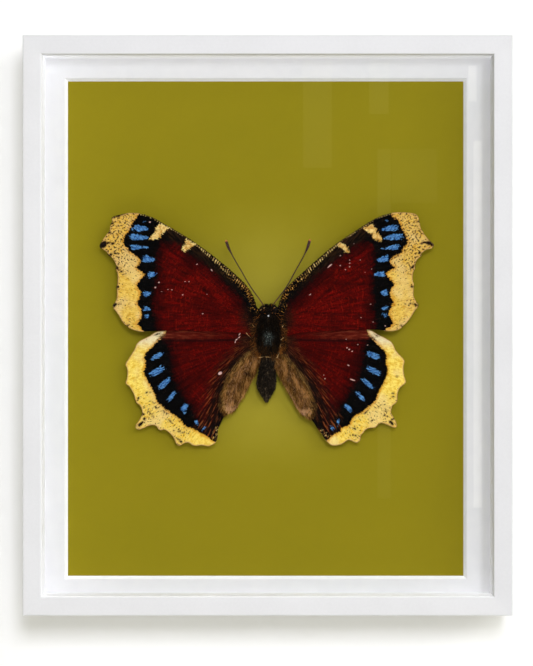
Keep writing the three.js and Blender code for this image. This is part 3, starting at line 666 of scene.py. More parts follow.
for side in ("left", "right", "top", "bottom"):  # spacers fill the room from the mat to the glass
    low, high = planBox(f"spacer_{side}")
    low.z, high.z = matHigh.z, glassLow.z
    if side in ("left", "right"):
        low.y -= gap
        high.y += gap
    bm = bmesh.new()
    softBox(bm, low, high, frameLooks["paperSoftness"])
    finishPiece(f"strip_{side}", bm, toWorld, finishes["spacerBoard"], [f"spacer_{side}"])

windowLooks = {"width": 101.6, "height": 127.0, "centre": (-0.5, -0.8), "bevel": 0.8}


def rectangle(bm, width, height, centre, z):  # a loop of four edges
    verts = bmesh.ops.create_circle(bm, segments=4, radius=math.sqrt(0.5))["verts"]
    bmesh.ops.rotate(bm, cent=(0, 0, 0), matrix=Matrix.Rotation(math.pi / 4, 3, "Z"), verts=verts)
    bmesh.ops.scale(bm, vec=(width, height, 1), verts=verts)
    bmesh.ops.translate(bm, vec=(*centre, z), verts=verts)
    return list({edge for vert in verts for edge in vert.link_edges})


def makeMat():
    bm = bmesh.new()
    outer = (layerHigh.x - layerLow.x, layerHigh.y - layerLow.y, (0, 0))
    width, height, centre = windowLooks["width"], windowLooks["height"], windowLooks["centre"]
    wider = 2 * windowLooks["bevel"]
    back = layerHigh.z + 0.02
    loops = [rectangle(bm, *outer, back), rectangle(bm, *outer, matHigh.z),
             rectangle(bm, width + wider, height + wider, centre, matHigh.z), rectangle(bm, width, height, centre, back)]
    corners = [[vert for edge in loop[:4] for vert in edge.verts] for loop in loops]
    for first, second in zip(loops, loops[1:] + loops[:1]):
        bmesh.ops.bridge_loops(bm, edges=first + second)
    bmesh.ops.recalc_face_normals(bm, faces=bm.faces)
    rim = [edge for edge in bm.edges if edge.verts[0] in corners[2] and edge.verts[1] in corners[2]]
    soften(bm, rim, 0.12, 3)
    finishPiece("window_mat", bm, toWorld, finishes["matBoardPaper"], ["mat_board"], crease=30)


makeMat()
for node, look in (("glass_pane", "pictureGlass"), ("ground_board", "oliveCard"), ("backing_board", "fibreboard")):
    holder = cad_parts[node]
    holder.data.materials.clear()
    holder.data.materials.append(finishes[look])

# Steel points driven into the rails, and the sawtooth hanger with its two nails
metalLooks = {"pointSoftness": 0.09, "hangerSheet": 0.6, "hangerRise": 1.3, "bendAt": (11.0, 13.0), "toothPitch": 2.0,
              "toothHeight": 0.9, "toothCount": 9, "cornerCut": 1.2, "nailRadius": 0.5, "headRadius": 1.5, "headHeight": 0.75}


def makePoint(side, index, turn):
    node = f"point_{side}_{index}"
    low, high = planBox(node)
    middle = (low + high) / 2
    length, half = max(high.x - low.x, high.y - low.y), min(high.x - low.x, high.y - low.y) / 2
    sheet = high.z - low.z
    tip, end = -length / 2, length / 2
    bm = bmesh.new()
    polygon(bm, [(tip, 0), (tip + half, -half), (end - 1, -half), (end, 1 - half), (end, half - 1), (end - 1, half),
                 (tip + half, half)], sheet)
    soften(bm, [edge for edge in bm.edges if abs(edge.verts[0].co.z - edge.verts[1].co.z) < 0.01],
           metalLooks["pointSoftness"], 2)
    turned = Matrix.Translation((middle.x, middle.y, backingLow.z - sheet - 0.02)) @ Matrix.Rotation(
        turn * math.pi / 2, 4, "Z")
    finishPiece(f"glazier_{side}_{index}", bm, toWorld @ turned, finishes["pointSteel"], [node], crease=30)


for turn, side in enumerate(("left", "bottom", "right", "top")):
    for index in (1, 2):
        makePoint(side, index, turn)


def makeHanger():
    low, high = hangerLow, hangerHigh
    cut, pitch, tooth = metalLooks["cornerCut"], metalLooks["toothPitch"], metalLooks["toothHeight"]
    points = [(low.x, high.y - cut), (low.x, low.y + cut), (low.x + cut, low.y)]
    start = -metalLooks["toothCount"] * pitch / 2
    for index in range(metalLooks["toothCount"]):
        points += [(start + index * pitch, low.y), (start + (index + 0.5) * pitch, low.y + tooth)]
    points += [(-start, low.y), (high.x - cut, low.y), (high.x, low.y + cut), (high.x, high.y - cut),
               (high.x - cut, high.y), (low.x + cut, high.y)]
    bm = bmesh.new()
    polygon(bm, points, metalLooks["hangerSheet"])
    for bend in metalLooks["bendAt"]:
        for place in (-bend, bend):
            geometry = bm.verts[:] + bm.edges[:] + bm.faces[:]
            bmesh.ops.bisect_plane(bm, geom=geometry, plane_co=(place, 0, 0), plane_no=(1, 0, 0))
    inner, outer = metalLooks["bendAt"]
    top = backingLow.z - metalLooks["hangerSheet"] - 0.02
    for vert in bm.verts:
        rise = 1 - min(max((abs(vert.co.x) - inner) / (outer - inner), 0), 1)
        vert.co.z += top - rise * (top - low.z)
    sharp = [edge for edge in bm.edges if edge.calc_face_angle(0) > 1.2]
    soften(bm, sharp, 0.07, 2)
    finishPiece("saw_hanger", bm, toWorld, finishes["hangerBrass"], ["sawtooth_hanger"], crease=30)
    for index in (1, 2):
        nailLow, nailHigh = planBox(f"hanger_nail_{index}")
        middle = (nailLow + nailHigh) / 2
        shaft, head = metalLooks["nailRadius"], metalLooks["headRadius"]
        base = top - 0.01
        dome = [(0, base - metalLooks["headHeight"]), (head * 0.5, base - metalLooks["headHeight"] * 0.88),
                (head * 0.85, base - metalLooks["headHeight"] * 0.5), (head, base), (shaft, base), (shaft, nailHigh.z - 1),
                (0, nailHigh.z)]
        turned = spinProfile(dome, 24)
        bmesh.ops.transform(turned, matrix=Matrix.Translation((middle.x, middle.y, 0)), verts=turned.verts)
        finishPiece(f"nail_{index}", turned, toWorld, finishes["pointSteel"], [f"hanger_nail_{index}"])


def spinProfile(profile, sides):  # radius and z, turned about the z axis
    bm = bmesh.new()
    verts = [bm.verts.new((radius, 0, z)) for radius, z in profile]
    edges = [bm.edges.new(pair) for pair in zip(verts, verts[1:])]
    bmesh.ops.spin(bm, geom=verts + edges, cent=(0, 0, 0), axis=(0, 0, 1), angle=math.tau, steps=sides, use_merge=True)
    bmesh.ops.remove_doubles(bm, verts=bm.verts, dist=1e-4)
    bmesh.ops.recalc_face_normals(bm, faces=bm.faces)
    return bm


makeHanger()
print("frame, boards and hanger made")

# Wing outlines, from the front edge's root round the tip and back, as seen from the front
foreOutlines = {
    "left": [
        (-1.6, 4.9), (-2.6, 6.1), (-3.1, 7.6), (-3.7, 9.2), (-4.6, 10.7), (-6.0, 12.4), (-8.0, 14.3), (-10.0, 16.1),
        (-12.0, 17.7), (-14.0, 19.3), (-16.0, 20.8), (-18.0, 22.2), (-20.0, 23.6), (-22.0, 24.8), (-24.0, 26.0),
        (-26.0, 27.1), (-28.0, 28.3), (-30.0, 29.2), (-31.8, 29.8), (-33.5, 30.0), (-35.5, 30.0), (-37.5, 29.6),
        (-39.6, 28.9), (-39.4, 28.1), (-39.9, 27.2), (-40.0, 26.0), (-40.6, 25.0), (-41.4, 23.9), (-42.2, 22.8),
        (-42.7, 21.9), (-42.4, 21.1), (-41.6, 20.8), (-40.8, 20.2), (-40.4, 19.4), (-39.6, 18.9), (-38.8, 17.8),
        (-38.4, 16.6), (-38.6, 15.8), (-38.1, 15.0), (-38.0, 13.2), (-38.1, 12.0), (-38.4, 11.2), (-38.2, 10.3),
        (-38.2, 8.8), (-38.5, 7.6), (-39.3, 6.6), (-39.2, 6.0), (-38.4, 5.0), (-37.6, 3.8), (-36.8, 2.4),
        (-35.8, 1.3), (-34.4, 0.5), (-32.6, 0.0), (-30.6, -0.1), (-28.0, 0.0), (-24.0, 0.1), (-18.0, 0.0),
        (-12.0, -0.2), (-7.0, -0.5), (-1.6, -1.2)],
    "right": [
        (2.4, 4.9), (3.0, 6.8), (3.4, 7.9), (3.8, 9.0), (4.4, 10.2), (5.4, 11.4), (6.6, 12.6), (8.0, 13.9),
        (10.0, 15.7), (12.0, 17.5), (14.0, 19.2), (16.0, 20.9), (18.0, 22.4), (20.0, 23.8), (22.0, 25.1),
        (24.0, 26.4), (26.0, 27.7), (28.0, 28.8), (30.0, 29.6), (31.6, 30.0), (34.0, 30.2), (36.0, 30.1),
        (37.5, 29.9), (38.2, 29.5), (38.7, 28.6), (38.9, 27.4), (39.1, 26.4), (39.7, 25.4), (40.2, 24.5),
        (40.9, 23.6), (41.7, 22.9), (42.5, 22.1), (42.5, 21.6), (42.0, 21.2), (41.0, 21.0), (40.2, 20.6),
        (39.5, 19.9), (39.2, 19.2), (38.7, 18.7), (38.1, 18.1), (37.8, 17.2), (37.8, 16.2), (37.4, 15.4),
        (37.1, 14.2), (37.1, 12.9), (37.4, 12.0), (37.4, 11.0), (37.3, 10.0), (37.3, 9.0), (37.6, 8.2),
        (38.0, 7.4), (38.6, 6.8), (38.5, 6.2), (37.9, 5.6), (37.4, 4.8), (36.8, 3.8), (36.0, 2.7), (35.2, 1.8),
        (34.4, 1.0), (33.4, 0.4), (32.2, 0.1), (30.6, 0.1), (28.5, 0.3), (25.8, 0.4), (20.0, 0.2), (14.0, -0.1),
        (8.0, -0.5), (2.4, -1.2)]}
hindOutlines = {
    "left": [
        (-2.4, 1.6), (-6.0, 3.0), (-12.0, 3.8), (-18.0, 3.4), (-23.0, 1.8), (-26.2, 0.1), (-27.6, -0.1), (-28.6, -0.5),
        (-29.8, -1.3), (-31.2, -2.0), (-32.4, -2.6), (-33.2, -3.4), (-33.7, -4.6), (-34.4, -5.8), (-35.2, -7.0),
        (-35.8, -7.9), (-36.1, -8.6), (-35.7, -9.6), (-35.6, -11.2), (-35.8, -12.4), (-36.0, -13.4), (-35.2, -14.1),
        (-34.5, -15.1), (-33.9, -16.3), (-33.6, -17.5), (-33.2, -18.4), (-32.5, -18.9), (-32.0, -19.8),
        (-31.8, -20.8), (-32.1, -21.9), (-32.7, -23.0), (-33.4, -24.0), (-33.5, -24.7), (-33.0, -25.1),
        (-32.0, -24.9), (-30.9, -24.4), (-29.8, -24.0), (-28.8, -24.0), (-28.1, -24.4), (-27.6, -25.1),
        (-27.2, -25.3), (-26.4, -25.1), (-25.5, -25.5), (-24.7, -26.2), (-23.9, -27.0), (-23.5, -27.8),
        (-23.2, -28.6), (-22.6, -29.2), (-21.9, -29.0), (-21.2, -28.6), (-20.4, -28.4), (-19.7, -28.6),
        (-19.0, -29.1), (-18.2, -29.3), (-17.0, -29.1), (-16.0, -29.2), (-15.1, -29.4), (-14.2, -29.1),
        (-13.4, -28.6), (-12.8, -27.8), (-12.6, -26.6), (-12.5, -25.2), (-12.0, -24.0), (-11.5, -23.0),
        (-11.1, -22.1), (-10.4, -21.5), (-9.2, -20.9), (-8.2, -20.2), (-7.5, -19.3), (-7.0, -18.2), (-6.2, -17.0),
        (-5.5, -15.9), (-4.8, -14.6), (-4.0, -13.0), (-3.4, -11.8), (-2.8, -10.6), (-2.4, -9.4), (-1.6, -7.6),
        (-1.6, -2.0)],
    "right": [
        (3.2, 1.6), (6.0, 3.0), (12.0, 3.8), (18.0, 3.4), (23.0, 1.8), (25.6, 0.3), (26.4, 0.1), (27.5, -0.5),
        (29.0, -1.3), (30.5, -2.1), (31.6, -2.8), (32.2, -3.6), (32.7, -4.8), (33.5, -5.9), (34.3, -6.7),
        (34.9, -7.4), (35.0, -8.0), (34.8, -9.0), (34.8, -10.4), (35.0, -11.6), (35.3, -12.5), (35.4, -13.1),
        (34.7, -13.8), (33.9, -14.5), (33.4, -15.5), (33.2, -16.8), (33.2, -17.9), (32.7, -18.5), (32.0, -19.1),
        (31.7, -20.1), (31.6, -20.9), (32.0, -21.7), (32.5, -22.5), (32.9, -23.4), (33.1, -24.2), (32.8, -24.6),
        (31.9, -24.4), (31.2, -24.0), (30.3, -23.7), (29.3, -23.4), (28.6, -23.6), (28.1, -24.1), (27.6, -24.6),
        (26.8, -24.7), (25.9, -24.8), (25.1, -25.2), (24.5, -26.0), (23.9, -26.7), (23.8, -27.4), (23.6, -28.0),
        (23.0, -28.5), (22.3, -28.3), (21.5, -27.9), (20.8, -27.8), (20.0, -28.2), (19.2, -28.8), (18.2, -29.1),
        (17.2, -29.2), (16.3, -29.0), (15.6, -28.4), (15.0, -27.8), (14.5, -27.2), (14.0, -26.4), (13.3, -25.5),
        (12.6, -24.5), (11.9, -23.4), (11.3, -22.7), (10.4, -22.1), (9.5, -21.7), (8.8, -21.2), (8.2, -20.4),
        (7.5, -19.7), (7.0, -18.5), (6.3, -17.3), (5.7, -16.2), (5.0, -15.0), (4.3, -13.8), (3.5, -12.3),
        (2.9, -11.2), (2.4, -10.0), (1.6, -8.2), (2.0, -2.0)]}

# Where the yellow margin meets the black band, from the front edge down
foreMargins = {
    "left": [
        (-32.6, 30.2), (-33.0, 29.4), (-33.5, 28.6), (-34.3, 27.8), (-34.6, 26.9), (-35.0, 26.0), (-35.4, 25.2),
        (-36.1, 24.5), (-36.5, 23.7), (-36.7, 22.7), (-36.3, 21.9), (-35.6, 21.2), (-35.1, 20.4), (-34.2, 19.7),
        (-33.2, 19.2), (-32.6, 18.6), (-32.3, 17.8), (-32.4, 17.2), (-32.9, 16.6), (-33.4, 16.2), (-32.7, 15.6),
        (-31.9, 15.0), (-31.3, 14.4), (-31.8, 13.6), (-32.3, 13.0), (-33.0, 12.2), (-33.3, 11.6), (-33.0, 11.0),
        (-32.4, 10.3), (-32.1, 9.5), (-32.4, 8.6), (-32.8, 7.8), (-33.2, 7.1), (-32.7, 6.4), (-32.1, 5.5),
        (-31.9, 4.5), (-32.0, 3.6), (-32.5, 2.8), (-33.1, 1.8), (-32.6, 1.3), (-32.1, 0.7), (-31.8, 0.2),
        (-31.4, -0.6)],
    "right": [
        (31.4, 30.4), (31.8, 29.4), (32.6, 28.8), (33.5, 28.2), (33.9, 27.4), (34.2, 26.5), (34.7, 25.6), (35.1, 24.9),
        (35.4, 24.0), (35.9, 23.2), (35.9, 22.5), (35.3, 21.9), (34.7, 21.1), (34.4, 20.3), (33.7, 19.7), (32.6, 19.2),
        (31.8, 18.6), (31.3, 17.9), (31.5, 17.2), (32.0, 16.7), (32.6, 16.2), (31.9, 15.8), (31.0, 15.3), (30.3, 14.7),
        (30.7, 13.9), (31.4, 13.2), (32.0, 12.6), (32.5, 11.9), (32.0, 11.2), (31.6, 10.5), (31.3, 9.6), (31.6, 8.7),
        (31.9, 8.0), (32.4, 7.3), (31.9, 6.6), (31.5, 5.8), (31.1, 4.8), (31.2, 4.0), (31.6, 3.2), (32.2, 2.2),
        (31.9, 1.6), (31.4, 1.0), (30.6, 0.7), (30.2, 0.3), (30.0, -0.6)]}
hindMargins = {
    "left": [
        (-26.4, -1.2), (-27.4, -2.2), (-28.2, -2.9), (-28.9, -3.7), (-29.7, -4.5), (-30.4, -5.2), (-31.0, -5.8),
        (-31.4, -6.9), (-31.1, -7.8), (-31.0, -9.0), (-31.4, -10.0), (-31.4, -10.8), (-30.9, -11.9), (-30.3, -13.0),
        (-29.6, -14.2), (-29.0, -15.4), (-28.6, -16.5), (-28.2, -17.4), (-28.0, -18.1), (-27.0, -19.0), (-26.0, -19.8),
        (-25.0, -20.6), (-24.0, -21.2), (-23.0, -21.9), (-22.2, -22.5), (-21.7, -23.3), (-21.0, -24.1), (-20.2, -24.7),
        (-19.0, -24.8), (-18.0, -25.4), (-17.0, -26.0), (-16.0, -26.5), (-15.2, -27.0), (-14.5, -27.6),
        (-13.4, -28.2)],
    "right": [
        (26.2, -1.4), (27.2, -2.4), (27.9, -3.1), (28.7, -3.8), (29.5, -4.7), (30.2, -5.4), (30.6, -6.3), (30.4, -7.2),
        (30.3, -8.0), (30.6, -9.0), (30.8, -10.0), (30.6, -11.0), (30.2, -12.0), (29.9, -13.0), (29.3, -14.1),
        (28.7, -15.1), (28.2, -16.3), (27.8, -17.5), (27.2, -18.3), (26.4, -19.0), (25.5, -19.7), (24.8, -20.4),
        (23.6, -21.0), (22.5, -21.6), (21.8, -22.3), (21.4, -23.2), (20.9, -24.0), (19.9, -24.5), (19.0, -24.8),
        (18.7, -25.6), (18.0, -26.0), (17.0, -26.3), (16.2, -27.1), (15.6, -27.7)]}

# Where the dark red field meets the black band, closed round the wing's root
foreFields = {
    "left": [
        (-28.0, -6.0), (-28.0, 0.0), (-28.5, 3.0), (-29.0, 6.0), (-29.0, 9.0), (-28.5, 12.0), (-28.0, 15.0),
        (-28.2, 18.0), (-28.2, 20.0), (-27.2, 22.6), (-26.0, 22.8), (-24.0, 22.5), (-22.0, 21.8), (-20.5, 20.0),
        (-18.0, 18.5), (-15.0, 16.3), (-12.0, 13.5), (-9.0, 10.5), (-7.0, 8.5), (-5.5, 6.5), (-4.0, 3.0), (-2.0, 1.0),
        (-2.0, -6.0)],
    "right": [
        (27.6, -6.0), (27.6, 0.0), (27.5, 3.0), (27.2, 7.0), (27.0, 11.0), (27.3, 15.0), (27.5, 18.0), (27.6, 20.0),
        (26.8, 22.4), (25.6, 22.6), (23.6, 22.3), (21.7, 21.5), (20.2, 19.8), (17.7, 18.2), (14.8, 16.0), (11.8, 13.2),
        (8.9, 10.3), (6.9, 8.3), (5.4, 6.4), (3.9, 3.0), (2.0, 1.0), (2.0, -6.0)]}
hindFields = {
    "left": [
        (-27.0, 6.0), (-27.0, -1.8), (-25.2, -3.5), (-24.7, -6.0), (-24.5, -8.5), (-24.0, -11.0), (-23.2, -13.5),
        (-22.3, -15.5), (-21.0, -17.5), (-19.5, -19.0), (-18.5, -21.0), (-17.8, -22.5), (-16.8, -24.0), (-15.5, -26.0),
        (-13.0, -20.0), (-12.5, -16.0), (-11.0, -12.0), (-8.0, -8.0), (-4.0, -4.0), (0.0, -2.0), (0.0, 8.0)],
    "right": [
        (26.3, 6.0), (26.3, -2.0), (25.0, -3.5), (24.6, -6.0), (24.2, -8.5), (23.6, -11.0), (22.8, -13.0),
        (21.6, -14.8), (20.3, -17.0), (18.8, -19.0), (17.8, -21.0), (16.8, -22.8), (16.4, -24.5), (15.5, -26.0),
        (13.8, -20.0), (13.0, -17.0), (11.0, -13.0), (8.0, -9.0), (4.0, -4.0), (0.0, -2.0), (0.0, 8.0)]}
foldRegions = {  # the woolly inner fold, between its seam and the wing's inner edge
    "left": [
        (-3.2, -3.6), (-4.5, -5.2), (-6.5, -7.0), (-8.4, -9.0), (-9.8, -11.0), (-10.9, -13.2), (-11.7, -15.4),
        (-12.1, -17.2), (-12.3, -19.0), (-11.9, -20.4), (-11.0, -21.6), (-10.0, -23.6), (-7.0, -24.0), (2.0, -14.0),
        (2.0, -4.0)],
    "right": [
        (2.6, -3.4), (3.5, -5.0), (5.5, -7.0), (7.6, -9.5), (9.6, -12.0), (11.0, -14.8), (12.0, -17.4), (12.6, -19.4),
        (12.4, -21.2), (11.4, -22.4), (10.4, -24.4), (7.0, -24.0), (-1.0, -14.0), (-1.0, -4.0)]}
# the crease line, along which the scales get painted shade
furrows = {  # the dark crease outside the fold
    "left": [(-4.8, -4.4), (-8.6, -8.0), (-11.4, -12.2), (-13.3, -17.0), (-14.6, -21.0), (-15.4, -25.5)],
    "right": [(4.6, -4.6), (8.4, -8.8), (11.6, -13.2), (13.8, -18.0), (15.4, -21.6), (16.2, -25.0)]}

# Blue spots as middle, half length, half width and turn in degrees
foreBlue = {
    "left": [
        (-32.2, 26.2, 2.1, 0.75, -5), (-32.6, 23.9, 2.4, 0.75, -4), (-33.2, 21.4, 1.7, 0.6, -4),
        (-31.0, 21.3, 1.0, 0.22, 0), (-30.2, 18.3, 1.6, 0.85, -8), (-29.3, 14.4, 1.2, 0.7, 6), (-30.6, 9.5, 1.0, 0.7, 8),
        (-30.6, 5.6, 0.9, 0.5, -8), (-30.6, 3.8, 0.65, 0.5, 40), (-31.3, 28.0, 0.4, 0.25, 0)],
    "right": [
        (31.3, 26.2, 2.2, 0.7, 10), (32.1, 23.9, 2.4, 0.75, 7), (32.2, 21.3, 1.8, 0.6, 9), (30.0, 21.0, 1.0, 0.22, 0),
        (29.6, 18.3, 1.7, 0.75, 14), (28.7, 14.5, 1.35, 0.65, 0), (29.9, 9.8, 1.0, 0.75, 5),
        (29.9, 5.8, 0.85, 0.45, 15), (29.9, 4.1, 0.75, 0.4, -30), (30.5, 28.2, 0.4, 0.25, 0)]}
hindBlue = {
    "left": [
        (-28.0, -6.4, 1.8, 0.55, 28), (-28.1, -10.3, 2.0, 0.8, 28), (-26.2, -13.4, 1.9, 0.7, 42),
        (-24.4, -16.7, 1.5, 0.5, 50), (-21.1, -19.6, 1.1, 0.75, 60), (-18.0, -23.4, 0.75, 0.4, -60),
        (-16.2, -25.0, 0.5, 0.2, 60), (-21.1, -20.9, 0.4, 0.25, 60)],
    "right": [
        (27.2, -6.3, 1.7, 0.75, -22), (27.3, -10.2, 1.9, 0.7, -28), (25.7, -13.4, 1.9, 0.6, -42),
        (23.9, -16.7, 1.5, 0.5, -48), (20.8, -19.7, 1.2, 0.55, -48), (18.2, -23.3, 0.8, 0.3, -88),
        (16.7, -24.8, 0.65, 0.35, -60)]}
creamBars = {
    "left": [
        [(-27.9, 27.4), (-26.8, 27.5), (-25.7, 27.0), (-24.6, 26.4), (-25.6, 25.7), (-26.2, 25.0), (-27.0, 24.5),
         (-27.0, 23.8), (-28.0, 23.5), (-29.2, 23.1), (-30.3, 23.3), (-29.7, 24.2), (-28.9, 25.1), (-28.4, 26.2)],
        [(-20.7, 23.4), (-19.6, 23.1), (-18.6, 22.5), (-17.6, 22.2), (-18.7, 21.6), (-19.6, 21.1), (-20.2, 20.4),
         (-21.1, 20.1), (-22.0, 20.9), (-21.6, 21.7), (-20.9, 22.4)]],
    "right": [
        [(24.6, 26.3), (25.6, 27.0), (26.5, 27.5), (27.3, 27.0), (28.0, 26.1), (28.4, 25.1), (29.0, 24.3), (29.7, 23.4),
         (29.3, 22.9), (28.1, 23.0), (27.0, 23.5), (26.4, 24.2), (26.9, 24.6), (25.8, 24.9), (25.0, 25.6)],
        [(17.4, 21.8), (18.4, 22.5), (19.6, 22.5), (20.3, 21.7), (20.9, 21.0), (21.3, 20.2), (20.7, 19.8), (19.8, 20.1),
         (19.2, 20.9), (18.4, 21.2)]]}
hindCream = {  # light checks at the tail corner, as the blue spots
    "left": [
        (-12.8, -24.6, 0.24, 0.14, 0), (-12.9, -25.4, 0.3, 0.15, 20), (-13.5, -25.9, 0.22, 0.14, 60),
        (-12.9, -26.4, 0.3, 0.16, -20), (-13.6, -27.0, 0.34, 0.18, 20), (-13.1, -27.7, 0.3, 0.16, 0),
        (-14.4, -27.9, 0.4, 0.16, 30)],
    "right": [
        (13.9, -25.4, 0.24, 0.14, 0), (14.4, -26.2, 0.3, 0.15, -20), (15.1, -26.1, 0.22, 0.14, 60),
        (15.0, -26.9, 0.3, 0.16, 20), (15.8, -27.1, 0.34, 0.18, -20), (15.6, -27.9, 0.3, 0.16, 0),
        (16.5, -28.1, 0.4, 0.16, -30)]}
foreNicks = {  # dark spots at the vein ends, as the blue ones
    "left": [
        (-42.0, 22.0, 1.2, 0.8, 40), (-40.6, 22.5, 0.7, 0.3, 10), (-39.3, 22.4, 0.5, 0.25, 30), (-39.4, 27.5, 0.5, 0.28, 20),
        (-40.2, 25.2, 0.35, 0.25, 0), (-40.0, 19.5, 0.6, 0.25, 30), (-38.8, 19.8, 0.4, 0.2, 0), (-38.2, 16.1, 0.4, 0.3, 90),
        (-37.2, 15.2, 0.25, 0.18, 0), (-38.1, 11.2, 0.35, 0.35, 0), (-38.9, 6.6, 0.65, 0.42, 20),
        (-37.8, 6.9, 0.3, 0.2, 30), (-35.6, 1.4, 0.32, 0.22, 30), (-38.2, 29.3, 1.2, 0.25, 15)],
    "right": [
        (41.6, 22.3, 1.1, 0.5, -30), (40.2, 22.6, 0.5, 0.25, 0), (38.5, 28.0, 0.35, 0.25, 0), (39.0, 25.6, 0.35, 0.22, 0),
        (39.0, 19.9, 0.4, 0.25, 0), (37.2, 16.3, 0.6, 0.3, 40), (37.0, 11.4, 0.32, 0.3, 0), (38.0, 6.7, 0.6, 0.36, -20),
        (36.6, 7.0, 0.25, 0.16, 0), (34.3, 1.4, 0.3, 0.2, 0)]}
hindNicks = {
    "left": [
        (-27.0, -1.5, 0.5, 0.14, 0), (-28.2, -0.9, 0.45, 0.12, 20), (-27.6, -2.0, 0.4, 0.12, 30),
        (-26.4, -1.0, 0.4, 0.12, 0), (-31.6, -21.3, 0.28, 0.24, 0), (-31.3, -22.4, 0.36, 0.28, 50), (-32.3, -23.8, 0.75, 0.36, 45),
        (-30.4, -22.1, 0.24, 0.2, 0), (-29.8, -21.1, 0.6, 0.16, -50), (-29.2, -18.3, 0.3, 0.17, -30),
        (-28.4, -19.6, 0.3, 0.17, -40), (-30.7, -15.7, 0.24, 0.18, 0), (-30.0, -15.7, 0.22, 0.16, 0),
        (-33.0, -17.3, 0.3, 0.17, 60), (-26.0, -20.8, 0.5, 0.16, -35), (-24.9, -22.9, 0.4, 0.15, -50),
        (-22.5, -25.6, 0.34, 0.2, 0), (-21.3, -26.0, 0.26, 0.16, 0), (-22.7, -27.6, 0.24, 0.18, 0),
        (-22.0, -28.3, 0.24, 0.18, 0)],
    "right": [
        (27.0, -1.6, 0.5, 0.14, 0), (28.0, -1.1, 0.45, 0.12, -20), (27.5, -2.2, 0.4, 0.12, -30),
        (26.2, -1.2, 0.4, 0.12, 0), (32.2, -15.9, 0.25, 0.17, 0), (32.2, -16.8, 0.25, 0.17, 0), (30.4, -20.5, 0.26, 0.2, 0),
        (30.0, -21.6, 0.26, 0.2, 0), (30.8, -21.8, 0.24, 0.18, 0), (32.0, -22.6, 0.26, 0.2, 0),
        (31.8, -23.5, 0.7, 0.38, -45), (26.9, -22.8, 0.3, 0.17, 40), (22.3, -24.9, 0.28, 0.2, 0),
        (22.0, -26.6, 0.24, 0.18, 0), (22.7, -26.7, 0.24, 0.18, 0), (33.3, -11.6, 0.24, 0.16, 0),
        (28.8, -19.2, 0.32, 0.16, 40), (25.3, -20.8, 0.4, 0.15, 35)]}
foreScuffs = {  # rubbed and dusty marks
    "left": [
        (-14.1, 15.5, 0.55, 0.15, -50), (-17.9, 17.0, 0.25, 0.15, 20), (-20.9, 12.6, 0.22, 0.15, 0),
        (-19.9, 12.6, 0.22, 0.15, 0), (-21.5, 9.2, 0.22, 0.16, 0), (-15.3, 9.4, 0.2, 0.14, 0),
        (-27.6, 12.4, 0.25, 0.2, 0), (-28.5, 11.1, 0.25, 0.22, 0), (-25.3, 10.6, 0.25, 0.16, 0),
        (-24.3, 10.5, 0.25, 0.15, 0), (-26.9, 10.0, 0.22, 0.15, 0), (-16.4, 4.4, 0.3, 0.15, 0),
        (-29.9, 27.8, 0.28, 0.2, 0)],
    "right": [
        (16.0, 16.6, 0.8, 0.17, 40), (18.7, 19.2, 0.22, 0.15, 0), (18.7, 16.7, 0.25, 0.16, 0), (21.1, 16.4, 0.22, 0.16, 0),
        (21.1, 17.3, 0.25, 0.16, 0), (21.1, 18.1, 0.22, 0.16, 0), (20.0, 15.7, 0.22, 0.15, 0), (22.2, 22.3, 0.2, 0.14, 0),
        (23.8, 18.1, 0.2, 0.14, 0), (26.7, 15.8, 0.2, 0.15, 0), (25.0, 15.0, 0.2, 0.14, 0), (26.4, 6.8, 0.2, 0.15, 0),
        (24.0, 3.4, 0.2, 0.14, 0), (27.1, 2.3, 0.22, 0.15, 0), (30.2, 1.3, 0.25, 0.18, 0), (11.0, 9.3, 0.4, 0.14, 30)]}
hindScuffs = {
    "left": [
        (-7.0, -0.8, 0.6, 0.16, 60), (-7.1, -1.6, 0.5, 0.15, 45), (-7.8, -2.2, 0.4, 0.14, 35), (-8.1, -2.8, 0.45, 0.15, 80),
        (-12.0, -10.8, 0.55, 0.38, 30)],
    "right": [
        (20.4, -4.3, 0.25, 0.16, 0), (21.0, -4.7, 0.3, 0.18, 0), (21.7, -5.2, 0.25, 0.16, 0), (20.8, -8.8, 0.55, 0.16, -35),
        (21.9, -12.5, 0.9, 0.17, -18), (14.5, -11.3, 0.22, 0.16, 0), (14.8, -12.2, 0.22, 0.16, 0),
        (20.2, -2.1, 0.2, 0.14, 0), (23.2, -3.5, 0.2, 0.14, 0), (25.7, -3.6, 0.2, 0.14, 0)]}
foreVeins = [
    [(-3.5, 5), (-8, 11), (-14, 17), (-22, 23), (-28, 27)],
    [(-3.2, 3), (-9, 8.5), (-16, 14), (-20, 17.5), (-26, 21), (-33, 24.5), (-40, 28)],
    [(-20, 17.5), (-26, 19), (-33, 20.5), (-41.5, 22)], [(-20, 16.5), (-28, 17.5), (-34, 18.9), (-40, 19.4)],
    [(-19, 14.5), (-26, 15.5), (-32.9, 16.4), (-38.4, 15.9)], [(-17.5, 12), (-25, 12), (-33.2, 11.5), (-38.3, 11.2)],
    [(-14, 8.5), (-22, 8), (-33.2, 7.1), (-38.6, 6.5)], [(-9.5, 5), (-20, 4), (-33, 1.8), (-35.4, 1.2)],
    [(-3.3, 1.5), (-12, 1.2), (-22, 0.9), (-31.5, 0.4)],
    [(-3.2, 2.6), (-9.5, 5), (-14, 8.5), (-17.5, 12), (-19, 14.5), (-20, 16.5)]]
